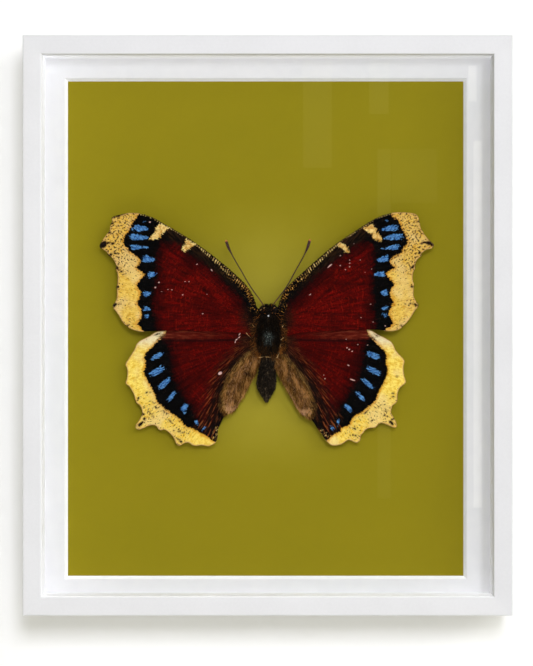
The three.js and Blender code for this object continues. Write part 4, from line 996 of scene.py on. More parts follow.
hindVeins = [
    [(-4, -2), (-14, -2.6), (-24, -3.5), (-31, -5.8), (-36.1, -8.6)], [(-10, -5), (-20, -7), (-31, -10.5), (-36, -13.4)],
    [(-10, -5.5), (-20, -10), (-29, -15), (-33, -18.6)], [(-10, -7), (-18, -12.5), (-27, -19), (-33.2, -24.6)],
    [(-9, -8), (-15, -14), (-22, -22.3), (-22.6, -29.2)], [(-8, -9), (-13, -16.5), (-18, -25), (-18.2, -29.2)],
    [(-6.5, -8), (-11, -16), (-13.8, -24), (-14.5, -29)], [(-4, -2), (-10, -5), (-10, -7), (-9, -8), (-6.5, -8)]]

# How the wings stand above the ground, as their middle surface, and what breaks that surface
wingStand = {"root": 4.9, "drop": 1.3, "arch": 0.35, "span": 42.6, "hindBelow": 0.75, "tailDrop": 1.1, "tailReach": 29}
wingForm = {
    "cell": 0.17, "membrane": 0.11, "veinHeight": 0.1, "veinWidth": 0.24, "billow": 0.1, "ripple": 0.16,
    "edgeCurl": 0.28, "costaHeight": 0.22, "foldCrest": 0.4, "foldDrop": 0.9, "valley": 0.25}
veinShrink = 0.985  # the right wings are drawn in a little on the left ones


def standHeight(hind, xs, ys):
    along = np.abs(xs) / wingStand["span"]
    height = wingStand["root"] - wingStand["drop"] * along ** 2 + wingStand["arch"] * np.sin(np.pi * along)
    if hind:
        tail = np.clip(-ys / wingStand["tailReach"], 0, None) ** 1.5
        height = height - wingStand["hindBelow"] - wingStand["tailDrop"] * tail
    return height


def readWing(name):  # everything about a wing that its shape, colours, fringe and wool share
    kind, side = name.split("_")
    hind = kind == "hindwing"
    sign = -1 if side == "left" else 1
    outline = smoothLine((hindOutlines if hind else foreOutlines)[side], 4)
    border = (hindMargins if hind else foreMargins)[side]
    if hind:
        marginRegion = [(sign * 25, 1), *border, (sign * 12, -31), (sign * 12, -45), (sign * 60, -45), (sign * 60, 10),
                        (sign * 25, 10)]
    else:
        marginRegion = [(sign * 31, 36), *border, (sign * 31, -7), (sign * 60, -7), (sign * 60, 36)]
    veins = hindVeins if hind else foreVeins
    if side == "right":
        veins = [[(-x * veinShrink, y) for x, y in vein] for vein in veins]
    return {
        "hind": hind, "side": side, "sign": sign, "outline": outline, "marginRegion": marginRegion,
        "veins": [smoothLine(vein, 4, closed=False) for vein in veins],
        "field": smoothLine((hindFields if hind else foreFields)[side], 2),
        "blue": (hindBlue if hind else foreBlue)[side], "nicks": (hindNicks if hind else foreNicks)[side],
        "scuffs": (hindScuffs if hind else foreScuffs)[side], "cream": [] if hind else creamBars[side],
        "root": (sign * (3.0 if hind else 2.5), -2.0 if hind else 3.0)}


def lowNoise(points, scale, offset):
    return np.array([noise.noise((x * scale + offset, y * scale, 0.0)) for x, y in points])


def wingSurface(wing, points, edge):  # height above the ground at each point
    xs, ys = points[:, 0], points[:, 1]
    height = standHeight(wing["hind"], xs, ys)
    veinNear = np.full(len(points), 9.0)
    for vein in wing["veins"]:
        veinNear = np.minimum(veinNear, nearest(vein, points, closed=False)[0])
    form = wingForm
    height += form["veinHeight"] * np.exp(-(veinNear / form["veinWidth"]) ** 2)
    height += form["billow"] * ease(veinNear, 0.2, 2.5) * (1 if wing["hind"] else 0.7)
    height += form["ripple"] * lowNoise(points, 0.11, 3.0 * wing["sign"] + 5 * wing["hind"]) * ease(edge, 0.0, 4.0)
    height += form["edgeCurl"] * lowNoise(points, 0.16, 11.0 + wing["sign"]) * ease(edge, 3.0, 0.0)
    if wing["hind"]:
        fold = signed(foldRegions[wing["side"]], points)
        height += form["foldCrest"] * np.exp(-((fold - 0.7) / 0.9) ** 2)
        height -= form["foldDrop"] * ease(fold, 1.2, 5.5) * ease(-ys, 6, 13)
        height -= form["valley"] * np.exp(-((fold + 1.2) / 0.8) ** 2)
        height -= 0.35 * ease(ys, -1.0, 1.5)
        return height, veinNear, fold
    costa, _, along = nearest(wing["outline"][:88], points, closed=False)
    height += form["costaHeight"] * np.exp(-(costa / 0.7) ** 2) * ease(along, 34, 4)
    return height, veinNear, np.full(len(points), -9.0)


def writeField(mesh, name, values, kind="FLOAT"):
    key = "value" if kind == "FLOAT" else "vector"
    mesh.attributes.new(name, kind, "POINT").data.foreach_set(key, np.ascontiguousarray(values, dtype=np.float32).ravel())


def wingGrid(outline):  # a fine net of quads, trimmed to the outline
    cell = wingForm["cell"]
    low, high = outline.min(0) - cell, outline.max(0) + cell
    counts = np.ceil((high - low) / cell).astype(int)
    bm = bmesh.new()
    bmesh.ops.create_grid(bm, x_segments=int(counts[0]), y_segments=int(counts[1]), size=0.5)
    bmesh.ops.scale(bm, vec=(*(high - low), 1), verts=bm.verts)
    bmesh.ops.translate(bm, vec=(*((low + high) / 2), 0), verts=bm.verts)
    depth = signed(outline, np.array([vert.co[:2] for vert in bm.verts]))
    outside = [vert for vert, within in zip(bm.verts[:], depth) if within < -0.45 * cell]
    bmesh.ops.delete(bm, geom=outside, context="VERTS")
    bmesh.ops.delete(bm, geom=[vert for vert in bm.verts if not vert.link_faces], context="VERTS")
    rim = [vert for vert in bm.verts if vert.is_boundary]
    found = nearest(outline, np.array([vert.co[:2] for vert in rim]))[1]
    for vert, (x, y) in zip(rim, found):
        vert.co = (x, y, 0)
    near = {vert for edgeVert in rim for face in edgeVert.link_faces for vert in face.verts}
    near |= {vert for inner in list(near) for face in inner.link_faces for vert in face.verts}
    near -= set(rim)
    for _ in range(4):
        bmesh.ops.smooth_vert(bm, verts=list(near), factor=0.5, use_axis_x=True, use_axis_y=True)
    return bm


def makeWing(name):
    wing = wings[name]
    bm = wingGrid(wing["outline"])
    mesh = bpy.data.meshes.new(f"{name}_scales")
    bm.to_mesh(mesh)
    bm.free()
    spread = np.zeros(len(mesh.vertices) * 3)
    mesh.vertices.foreach_get("co", spread)
    spread = spread.reshape(-1, 3)
    points = spread[:, :2].copy()
    xs, ys = points.T
    sign, side = wing["sign"], wing["side"]
    edge = nearest(wing["outline"], points)[0]
    spread[:, 2], veinNear, fold = wingSurface(wing, points, edge)
    mesh.vertices.foreach_set("co", spread.ravel())
    mesh.transform(onGround)
    margin = signed(wing["marginRegion"], points)
    cream = np.full(len(points), -9.0)
    for bar in wing["cream"]:
        cream = np.maximum(cream, signed(bar, points))
    rootX, rootY = wing["root"]
    radius = np.hypot(xs - rootX, ys - rootY)
    blue = spots(wing["blue"], points, 3.0) if wing["hind"] else spots(wing["blue"], points, 2.4, -0.4 * sign)
    angle = np.arctan2(ys - rootY, (xs - rootX) * sign)
    values = {
        "edge": edge, "margin": margin, "field": signed(wing["field"], points), "blue": blue,
        "cream": cream, "nick": spots(wing["nicks"], points), "scuff": spots(wing["scuffs"], points), "vein": veinNear,
        "fold": fold, "root": radius, "hindward": np.full(len(points), float(wing["hind"]))}
    around = ease(spots(wing["nicks"], points), -2.2, -0.3)
    if wing["hind"]:
        values["cream"] = spots(hindCream[side], points)
        values["hindward"] += ease(ys, -6.5, -0.5)
        values["costa"] = np.full(len(points), -1.0)
        values["pepper"] = 0.12 * ease(-ys, 14, 20) + 0.6 * around * ease(-ys, 14, 20)
        values["furrow"] = nearest(furrows[side], points, closed=False)[0]
        values["strip"] = np.minimum(ys + 2.2 + 0.012 * np.abs(xs), 27 - np.abs(xs))
        along = inward = np.full(len(points), 9.0)
    else:
        inward, _, along = nearest(wing["outline"][:88], points, closed=False)
        values["costa"] = 1 - inward / (0.42 + 1.2 * ease(along, 28, 14))
        values["pepper"] = np.clip(0.3 + 0.7 * ease(ys, 12, 21) + 0.4 * around, 0, 1)
        values["furrow"] = values["strip"] = np.full(len(points), 9.0)
        values["strip"] = -values["furrow"]
    for key in wingFields:
        writeField(mesh, key, values[key])
    writeField(mesh, "flow", np.stack([radius, angle * 25, np.zeros(len(points))], 1), "FLOAT_VECTOR")
    writeField(mesh, "costaFlow", np.stack([along, inward, np.zeros(len(points))], 1), "FLOAT_VECTOR")
    piece = finishMesh(f"{name}_scales", mesh, finishes["wingScales"], [name], crease=0)
    shell = piece.modifiers.new("membrane", "SOLIDIFY")
    shell.thickness = wingForm["membrane"] * mm
    shell.offset = 0
    print(name, "made:", len(mesh.polygons), "faces")


wings = {name: readWing(name) for name in ("forewing_left", "forewing_right", "hindwing_left", "hindwing_right")}
for name in wings:
    makeWing(name)

# Fringe of fine scales along the wings' outer edges
fringeLooks = {"spacing": 0.08, "length": (0.22, 0.5), "width": 0.11, "spread": 0.35, "teeth": 1.5}


def makeFringe():
    places, tones = [], []
    for wing in wings.values():
        ring = np.vstack([wing["outline"], wing["outline"][:1]])
        roots, outwards = [], []
        for start, end in zip(ring, ring[1:]):
            length = math.hypot(*(end - start))
            outward = Vector((end[1] - start[1], start[0] - end[0], 0)).normalized() * wing["sign"]
            count = max(1, round(length / fringeLooks["spacing"]))
            for index in range(count):
                roots.append(start + (end - start) * (index + dice.random()) / count)
                outwards.append(outward)
        roots = np.array(roots)
        inMargin = signed(wing["marginRegion"], roots) > -0.3
        if wing["hind"]:
            inMargin &= np.abs(roots[:, 0]) > 12.8
        nicks = spots(wing["nicks"], roots)
        heights = wingSurface(wing, roots, np.zeros(len(roots)))[0]
        if not wing["hind"]:
            along = nearest(wing["outline"][:88], roots, closed=False)[2]
            toothed = (along < 40) & (along > 2.5) & (nearest(wing["outline"][:88], roots, closed=False)[0] < 0.02)
            toothed &= ((along + 0.15 * np.sin(along * 3.1)) * fringeLooks["teeth"]) % 1 < 0.5
            inMargin |= toothed
        else:
            toothed = np.zeros(len(roots), bool)
        for index in np.flatnonzero(inMargin):
            lean = Vector((dice.uniform(-1, 1), dice.uniform(-1, 1), dice.uniform(-0.6, 0.6))) * fringeLooks["spread"]
            direction = outwards[index] + lean
            root = Vector((*roots[index], heights[index])) - direction.normalized() * 0.12
            length = dice.uniform(*fringeLooks["length"])
            places.append(onGround @ hairPlace(root, direction, length, fringeLooks["width"]))
            tones.append(0.05 if nicks[index] > -0.25 or toothed[index] else dice.uniform(0.45, 1.0))
    finishMesh("wing_fringe", copies("wing_fringe", strand(1, 0.0), places, tones), finishes["wingFringe"])
    print("fringe made:", len(places), "scales")


makeFringe()

# Wool on the hindwings' folds, lying down towards the tail
woolLooks = {"count": 3400, "length": (0.7, 1.5), "width": 0.09, "lift": 0.22}


def makeWool(side):
    wing = wings[f"hindwing_{side}"]
    low, high = np.array((-13.0, -24.0)), np.array((-1.5, -3.5))
    if side == "right":
        low, high = np.array((1.5, -24.0)), np.array((14.0, -3.5))
    tries = np.array([(dice.uniform(low[0], high[0]), dice.uniform(low[1], high[1])) for _ in range(woolLooks["count"] * 3)])
    depth = np.minimum(signed(wing["outline"], tries), signed(foldRegions[side], tries))
    chosen = tries[depth > 0.02][:woolLooks["count"]]
    edge = nearest(wing["outline"], chosen)[0]
    heights, _, fold = wingSurface(wing, chosen, edge)
    seam = nearest(foldRegions[side][:10], chosen, closed=False)[2]
    places, tones = [], []
    for (x, y), height, inner, along in zip(chosen, heights, fold, seam):
        fall = 0.55 + 0.35 * dice.random()
        direction = Vector((wing["sign"] * (0.62 - 0.1 * inner) * fall + dice.gauss(0, 0.28), -1 + dice.gauss(0, 0.25),
                            woolLooks["lift"] * dice.random()))
        length = dice.uniform(*woolLooks["length"]) * (0.6 if inner < 0.8 else 1)
        places.append(onGround @ hairPlace((x, y, height + 0.03), direction, length, woolLooks["width"]))
        streak = noise.noise((x * 0.8, y * 0.35, 7.0)) + 0.9 * noise.noise((x * 2.6, y * 1.5, 3.0))
        # the wool near the seam is darker: painted shade
        zone = 0.3 * math.exp(-((inner - 2.4) / 1.3) ** 2) - 0.3 * math.exp(-(inner / 0.8) ** 2)
        tones.append(min(max(0.4 + 0.75 * streak + zone + dice.gauss(0, 0.16), 0), 1))
    mesh = copies(f"fold_wool_{side}", strand(2, 0.18), places, tones)
    finishMesh(f"fold_wool_{side}", mesh, finishes["foldWool"])


for side in ("left", "right"):
    makeWool(side)
print("wool made")

# Body: head, thorax and abdomen turned from one profile of radius and place along the body
bodyProfile = [
    (0, -18.1), (0.5, -17.3), (1.3, -16.2), (1.9, -15.2), (2.3, -14.1), (2.45, -13.0), (2.35, -12.0), (2.15, -10.4),
    (2.1, -8.8), (2.15, -7.6), (2.05, -6.9), (2.6, -6.2), (3.1, -5.0), (3.4, -3.2), (3.5, -1.0), (3.4, 1.4), (3.0, 3.0),
    (2.3, 4.0), (1.95, 4.4), (2.1, 5.0), (2.1, 5.6), (1.6, 6.2), (0.8, 6.5), (0, 6.55)]
bodyLooks = {
    "x": 0.42, "height": 3.6, "waist": -5, "leanLength": 8, "tailLean": 0.6, "tailDrop": 0.7, "flatness": 0.72,
    "sides": 64, "segment": 1.55, "groove": 0.1, "abdomenFrom": -6.6, "eye": (1.1, 1.45, 5.35), "palp": (0.45, 0.5, 6.45)}
legRoutes = [[(1.0, 0.4, 2.2), (2.6, 1.0, 1.5), (3.3, 0.2, 1.2), (2.4, -2.4, 0.9), (1.7, -5.2, 0.7)],
             [(0.8, -2.2, 2.0), (2.0, -3.0, 1.3), (2.7, -4.6, 1.1), (1.8, -7.2, 0.75), (1.0, -10.0, 0.55)]]


def bodyMiddle(y):
    tailward = min(1, max(0, (bodyLooks["waist"] - y) / bodyLooks["leanLength"]))
    return bodyLooks["x"] - bodyLooks["tailLean"] * tailward, bodyLooks["height"] - bodyLooks["tailDrop"] * tailward


bodyLine = smoothLine(bodyProfile, 5, closed=False)
bodyLine[:, 0] = np.clip(bodyLine[:, 0], 0, None)


def bodyRadius(y):
    radius = float(np.interp(y, bodyLine[:, 1], bodyLine[:, 0]))
    if y < bodyLooks["abdomenFrom"]:
        ring = abs(((y / bodyLooks["segment"]) % 1) - 0.5) * 2
        radius -= bodyLooks["groove"] * max(0, ring - 0.7) / 0.3 * min(1, radius)
    return max(radius, 0)


def bodySurface(y, turn):  # a point on the body and the direction straight off it
    x, z = bodyMiddle(y)
    radius = bodyRadius(y)
    flat = bodyLooks["flatness"]
    slope = (bodyRadius(y + 0.1) - bodyRadius(y - 0.1)) / 0.2
    point = Vector((x + radius * math.cos(turn), y, z + radius * flat * math.sin(turn)))
    return point, Vector((math.cos(turn), -slope, math.sin(turn) / flat)).normalized()


def makeBody():
    lows = np.unique(np.concatenate([bodyLine[:, 1], np.arange(-17.6, bodyLooks["abdomenFrom"], 0.15)]))
    bm = spinProfile([(bodyRadius(y), y) for y in lows], bodyLooks["sides"])
    bmesh.ops.rotate(bm, cent=(0, 0, 0), matrix=Matrix.Rotation(-math.pi / 2, 3, "X"), verts=bm.verts)
    for vert in bm.verts:
        x, z = bodyMiddle(vert.co.y)
        vert.co.x += x
        vert.co.z = vert.co.z * bodyLooks["flatness"] + z
        lump = noise.noise((vert.co.x * 0.9, vert.co.y * 0.9, vert.co.z * 0.9)) * 0.12
        vert.co += Vector((vert.co.x - x, 0, vert.co.z - z)).normalized() * lump
    radius, apart, palpY = bodyLooks["palp"]
    for sign in (-1, 1):
        ball = bmesh.ops.create_uvsphere(bm, u_segments=16, v_segments=10, radius=radius)["verts"]
        bmesh.ops.scale(bm, vec=(0.8, 1.3, 0.9), verts=ball)
        bmesh.ops.translate(bm, vec=(bodyLooks["x"] + sign * apart, palpY, bodyLooks["height"] - 0.3), verts=ball)
        for leg in legRoutes:
            route = smoothLine([(bodyLooks["x"] + sign * x, y, z) for x, y, z in leg], 5, closed=False)
            sweep(bm, route, [0.22 - 0.11 * index / len(route) for index in range(len(route))], 8)
    bmesh.ops.recalc_face_normals(bm, faces=bm.faces)
    piece = finishPiece("butterfly_body", bm, onGround, finishes["bodySkin"], ["body"])
    inverse = onGround.inverted()
    spots = [inverse @ vert.co for vert in piece.data.vertices]
    writeField(piece.data, "bloom", [math.hypot((p.x - 0.35) / 1.7, (p.y + 1.7) / 2.4) for p in spots])
    radius, apart, eyeY = bodyLooks["eye"]
    for name, sign in (("left", -1), ("right", 1)):
        eye = bmesh.new()
        bmesh.ops.create_uvsphere(eye, u_segments=32, v_segments=20, radius=radius)
        bmesh.ops.translate(eye, vec=(bodyLooks["x"] + sign * apart, eyeY, bodyLooks["height"]), verts=eye.verts)
        made = finishPiece(f"eye_{name}", eye, onGround, finishes["bodyEye"])
        writeField(made.data, "along", np.full(len(made.data.vertices), 0.5))
        writeField(made.data, "tip", np.full(len(made.data.vertices), 0.5))


makeBody()

hairLayers = {  # from y, to y, hairs, length, width, lift off the body, tones
    "thorax_hair": {"from": -6.4, "to": 4.3, "count": 7600, "length": (0.9, 1.7), "width": 0.1, "lift": 0.45},
    "abdomen_hair": {"from": -17.9, "to": -6.0, "count": 6000, "length": (0.35, 0.75), "width": 0.09, "lift": 0.32,
                     "finish": "abdomenHair"},
    "head_hair": {"from": 4.3, "to": 6.5, "count": 1500, "length": (0.4, 0.95), "width": 0.09, "lift": 0.8}}


def makeHair(name):
    layer = hairLayers[name]
    places, tones = [], []
    for _ in range(layer["count"]):
        y = dice.uniform(layer["from"], layer["to"])
        turn = dice.uniform(0, math.tau)
        root, off = bodySurface(y, turn)
        bare = name == "thorax_hair" and math.hypot((root.x - 0.35) / 1.5, (y + 1.7) / 2.1) < 1
        nearPin = math.hypot(root.x - 0.36, y - 3.85) < 0.55
        onEye = math.hypot(abs(root.x - bodyLooks["x"]) - 1.35, y - 5.4) < 0.8 and dice.random() < 0.85
        if root.z < 1.2 or nearPin or onEye or (bare and dice.random() < 0.6):
            continue
        back = Vector((0, -1, 0)) if name != "head_hair" else Vector((0, 0.5, 0.2))
        side = Vector((dice.gauss(0, 0.22), dice.gauss(0, 0.12), dice.gauss(0, 0.15)))
        direction = back * (1 - layer["lift"]) + off * layer["lift"] + side
        length = dice.uniform(*layer["length"])
        places.append(onGround @ hairPlace(root - off * 0.06, direction, length, layer["width"]))
        flank = max(0, abs(math.cos(turn)) - 0.72) / 0.28
        clump = noise.noise((root.x * 1.5, y * 1.5, 9.0)) + 0.6 * noise.noise((root.x * 3.4, y * 3.4, 4.0))
        shade = dice.gauss(0.08, 0.07)
        if name == "thorax_hair":
            tail = float(ease(-y, 2.0, 4.8))
            shade += (1.15 * flank + 0.55 * tail) * dice.random() * (1 + clump) + 0.2 * clump
        if name == "abdomen_hair":
            fleck = dice.random() < 0.16 + 0.5 * max(0, clump)
            shade += (fleck + 0.6 * max(0, clump)) * dice.uniform(0.3, 0.75) + 0.15 * float(ease(-y, 14.5, 17.5))
        if name == "head_hair":
            spot = noise.noise((root.x * 2.6, y * 2.6, 21.0))
            shade += 0.9 * (spot > 0.3 and abs(root.x - 0.4) > 0.6)
        tones.append(min(max(shade, 0), 1))
    mesh = copies(name, strand(2, 0.15), places, tones)
    finishMesh(name, mesh, finishes[layer.get("finish", "bodyHair")])


for name in hairLayers:
    makeHair(name)

# Hair where the wings meet the thorax, combed outwards and back
tuftLooks = {"count": 1500, "length": (1.2, 2.8), "width": 0.1}


def makeTufts(side):
    sign = -1 if side == "left" else 1
    places, tones = [], []
    for _ in range(tuftLooks["count"]):
        y = dice.uniform(-5.6, 4.4)
        x, _ = bodyMiddle(y)
        reach = bodyRadius(y) * dice.uniform(0.8, 1.05)
        height = float(standHeight(False, np.array([reach]), np.array([y]))[0]) + 0.15
        if y < -1.2:
            height -= wingStand["hindBelow"] - 0.15
        direction = Vector((sign * dice.uniform(0.3, 1.0), dice.uniform(-1.0, 0.15) - 0.35 * (y < 0), dice.uniform(0.0, 0.3)))
        length = dice.uniform(*tuftLooks["length"]) * 0.75
        places.append(onGround @ hairPlace((x + sign * reach, y, height - 0.1), direction, length, tuftLooks["width"]))
        warm = dice.random() < (0.26 if y < 1.8 else 0.1)
        tones.append(dice.uniform(0.65, 1.0) if warm else dice.uniform(0.0, 0.25))
    mesh = copies(f"wing_root_hair_{side}", strand(2, 0.2), places, tones)
    finishMesh(f"wing_root_hair_{side}", mesh, finishes["bodyHair"])


for side in ("left", "right"):
    makeTufts(side)

strayHairs = [  # pale hairs loose beside the body and orange ones on the eyes: both ends, the width and the tone
    ((2.5, -7.0, 5.3), (3.2, -5.5, 5.9), 0.24, 1.0), ((3.5, -2.3, 6.0), (4.5, -1.5, 6.0), 0.18, 1.0),
    ((3.9, 1.0, 6.0), (4.15, 1.5, 6.0), 0.26, 1.0), ((-2.1, -6.8, 5.8), (-0.6, -6.6, 6.0), 0.14, 0.9),
    ((-0.4, -6.6, 6.0), (1.1, -6.7, 6.0), 0.14, 0.9), ((-5.3, -0.5, 5.7), (-4.2, -1.7, 5.8), 0.12, 0.9),
    ((3.3, -4.2, 5.6), (3.6, -3.3, 5.8), 0.18, 0.7), ((-3.7, 1.6, 5.8), (-3.2, 1.0, 5.9), 0.18, 0.55),
    ((-0.95, 5.8, 4.7), (-0.45, 6.0, 4.7), 0.3, 0.7), ((-1.7, 5.25, 4.8), (-1.35, 5.6, 4.85), 0.26, 0.6),
    ((0.95, 6.0, 4.6), (1.35, 6.15, 4.6), 0.3, 0.7), ((1.75, 5.9, 4.7), (2.15, 6.0, 4.7), 0.26, 0.6)]


def makeStrays():
    places = []
    for start, end, width, _ in strayHairs:
        reach = Vector(end) - Vector(start)
        places.append(onGround @ hairPlace(start, reach, reach.length, width))
    mesh = copies("stray_hairs", strand(3, 0.3), places, [hair[3] for hair in strayHairs])
    finishMesh("stray_hairs", mesh, finishes["wingFringe"])


makeStrays()
print("body and hair made")

# Antennae and pin
antennaRoutes = {
    "left": [
        (-0.75, 6.25, 3.75), (-1.3, 7.2, 4.2), (-2.6, 9.0, 5.1), (-3.9, 10.8, 5.7), (-5.2, 12.9, 5.9), (-6.5, 15.2, 6.0),
        (-7.8, 17.4, 6.1), (-8.9, 19.4, 6.1), (-9.8, 21.2, 6.1), (-10.5, 23.2, 6.0)],
    "right": [
        (1.4, 6.25, 3.75), (1.9, 7.2, 4.2), (3.0, 8.6, 5.1), (4.1, 10.0, 5.7), (5.5, 12.1, 5.9), (6.9, 14.7, 6.0),
        (8.2, 17.0, 6.1), (9.4, 19.2, 6.1), (10.3, 21.2, 6.1), (11.0, 23.4, 6.0)]}
antennaLooks = {"root": 0.16, "shaft": 0.14, "club": 0.36, "clubLength": 4.4, "sides": 12, "stepsPerPoint": 12}


def makeAntenna(side):
    route = smoothLine(antennaRoutes[side], antennaLooks["stepsPerPoint"], closed=False)
    travelled = np.concatenate([[0], np.cumsum(np.linalg.norm(np.diff(route, axis=0), axis=1))])
    total = travelled[-1]
    radii = []
    for passed in travelled:
        left = total - passed
        swell = ease(np.array(left), antennaLooks["clubLength"], antennaLooks["clubLength"] * 0.35)
        radius = antennaLooks["shaft"] + (antennaLooks["club"] - antennaLooks["shaft"]) * float(swell)
        radius += (antennaLooks["root"] - antennaLooks["shaft"]) * max(0, 1 - passed / 3)
        cap = math.sqrt(max(0.02, 1 - max(0, 1 - left / 0.5) ** 2))
        ringed = 1 + 0.06 * math.sin(passed * 2 * math.pi * 2.6)
        radii.append(radius * cap * ringed)
    bm = bmesh.new()
    sweep(bm, route, radii, antennaLooks["sides"])
    bmesh.ops.recalc_face_normals(bm, faces=bm.faces)
    piece = finishPiece(f"feeler_{side}", bm, onGround, finishes["antennaHorn"], [f"antenna_{side}"])
    inverse = onGround.inverted()
    places = np.array([(inverse @ vert.co)[:] for vert in piece.data.vertices])
    closest = np.argmin(np.linalg.norm(places[:, None] - route[None], axis=2), axis=1)
    writeField(piece.data, "along", travelled[closest])
    writeField(piece.data, "tip", travelled[closest] / total)


for side in ("left", "right"):
    makeAntenna(side)

pinLooks = {"radius": 0.22, "at": (0.36, 3.85), "top": 5.9, "foot": -2.2}


def makePin():
    radius, top, foot = pinLooks["radius"], pinLooks["top"], pinLooks["foot"]
    dome = [(radius * math.cos(a), top - radius + radius * math.sin(a)) for a in np.linspace(0, math.pi / 2, 7)]
    bm = spinProfile([(0, foot), (radius * 0.4, foot + 0.5), (radius, foot + 1.3), *dome[:-1], (0, top)], 24)
    bmesh.ops.translate(bm, vec=(*pinLooks["at"], 0), verts=bm.verts)
    # the pin's near-white finish paints its glint
    finishPiece("specimen_pin", bm, onGround, finishes["pinSteelGlint"], ["mount_pin"])


makePin()
print("antennae and pin made")

# Wall with an opening behind the frame, and a floor far below
stageLooks = {"wallReach": 3.0, "opening": 0.6, "wallBack": 0.0003, "floorDepth": 0.9, "wall": (253, 253, 249),
              "floor": (238, 237, 234)}


def stageMaterial(name, colour, seeThroughBack):
    made, tree, surface, output = startMaterial(name, **{"Specular IOR Level": 0.1})
    place = millimetres(tree)
    _, shade = grainOn(tree, place, 0.5, 0.01)
    paler = tuple(min(255, value + 2) for value in colour)
    dress(tree, surface, mix(tree, shade, tone(*colour), tone(*paler)), calc(tree, "MULTIPLY_ADD", shade, 0.1, 0.85))
    if seeThroughBack:
        behind = add(tree, "NewGeometry").outputs["Backfacing"]
        seen = add(tree, "LightPath").outputs["Is Camera Ray"]
        clear = add(tree, "BsdfTransparent")
        both = add(tree, "MixShader", {0: calc(tree, "MULTIPLY", behind, seen), 1: surface.outputs[0],
                                       2: clear.outputs[0]})
        tree.links.new(both.outputs[0], output.inputs["Surface"])
    return made


def makeStage():
    bm = bmesh.new()
    reach = stageLooks["wallReach"] / mm
    inset = 2 * stageLooks["opening"]
    loops = [rectangle(bm, 2 * halfWidth - inset, 2 * halfHeight - inset, (0, 0), 0),
             rectangle(bm, 2 * reach, 2 * reach, (0, 0), 0)]
    bmesh.ops.bridge_loops(bm, edges=loops[0] + loops[1])
    for face in bm.faces:
        if face.normal.z < 0:
            face.normal_flip()
    lifted = toWorld @ Matrix.Translation((0, 0, -stageLooks["wallBack"] / mm))
    bmesh.ops.transform(bm, matrix=lifted, verts=bm.verts)
    floor = bmesh.new()
    bmesh.ops.create_grid(floor, x_segments=4, y_segments=4, size=stageLooks["wallReach"])
    bmesh.ops.translate(floor, vec=(0, 0, centreHeight - stageLooks["floorDepth"]), verts=floor.verts)
    for name, shape, colour, clearBack in (("wall", bm, stageLooks["wall"], True),
                                           ("floor", floor, stageLooks["floor"], False)):
        mesh = bpy.data.meshes.new(name)
        shape.to_mesh(mesh)
        shape.free()
        mesh.materials.append(stageMaterial(f"{name}Plaster", colour, clearBack))
        holder = bpy.data.objects.new(name, mesh)
        scene.collection.objects.link(holder)


makeStage()

# Light: a soft key from the upper right, even light from the room, and bright panels that the glass mirrors
lampLooks = {
    "key": {"at": (0.14, -1.6, 0.48), "size": (0.4, 0.4), "power": 10.6, "tint": (0.99, 1.0, 1.16)},
    "fill": {"at": (0.1, -1.9, 0.3), "size": (1.4, 1.4), "power": 6.2, "tint": (1.0, 0.99, 0.93)},
    "side": {"at": (1.3, -1.3, 0.7), "size": (1.0, 1.0), "power": 9.0},
    "back": {"at": (0.5, 1.2, 0.5), "size": (1.2, 1.2), "power": 11.0}}
mirroredLamps = ("key", "back")
boardLights = {  # light that the white boards throw about inside the frame: the way that it goes, and its strength
    "matFront": {"towards": (0.0, 1.0, 0.0), "strength": 0.42, "tint": (0.99, 0.99, 1.1), "on": "window_mat"},
    "matKey": {"towards": (-0.19, 1.0, -0.12), "strength": 0.72, "tint": (0.99, 0.99, 1.08), "on": "window_mat",
               "soft": 0.17},
    "bevelsAbove": {"towards": (-0.69, -0.2, -0.69), "strength": 3.6, "tint": (1, 1, 1), "on": "window_mat"},
    "stripsAbove": {"towards": (-0.72, 0.0, -0.68), "strength": 2.1, "tint": (1, 1, 1), "on": "strip"},
    "stripsBelow": {"towards": (0.0, 0.0, 1.0), "strength": 0.95, "tint": (1, 1, 1), "on": "strip"},
    "lipsAbove": {"towards": (-0.67, -0.3, -0.67), "strength": 3.5, "tint": (1, 1, 1.05), "on": ("rail_left", "rail_bottom")}}
room = {"diffuse": 0.38, "seen": 0.9, "mirrored": 0.01, "mirroredRound": 0.45, "tint": (1.0, 0.985, 0.88)}


def makeLamp(name):
    look = lampLooks[name]
    lamp = bpy.data.lights.new(name, "AREA")
    lamp.shape = "RECTANGLE"
    lamp.size, lamp.size_y = look["size"]
    lamp.energy = look["power"]
    lamp.color = look.get("tint", (1, 1, 1))
    holder = bpy.data.objects.new(name, lamp)
    holder.location = (look["at"][0], look["at"][1], centreHeight + look["at"][2])
    holder.rotation_euler = (Vector((0, 0, centreHeight)) - holder.location).to_track_quat("-Z", "Y").to_euler()
    holder.visible_camera = False
    holder.visible_glossy = name in mirroredLamps
    holder.visible_transmission = False
    scene.collection.objects.link(holder)
    return holder


lamps = {name: makeLamp(name) for name in lampLooks}
boardPieces = ["window_mat", "strip_left", "strip_right", "strip_top", "strip_bottom"]
railPieces = ["rail_left", "rail_right", "rail_top", "rail_bottom"]


def lightOnly(holder, names, state):  # the lamp lights just these pieces, or all but these
    chosen = bpy.data.collections.new(f"{holder.name}Pieces")
    for name in names:
        chosen.objects.link(bpy.data.objects[name])
    for entry in chosen.collection_objects:
        entry.light_linking.link_state = state
    holder.light_linking.receiver_collection = chosen


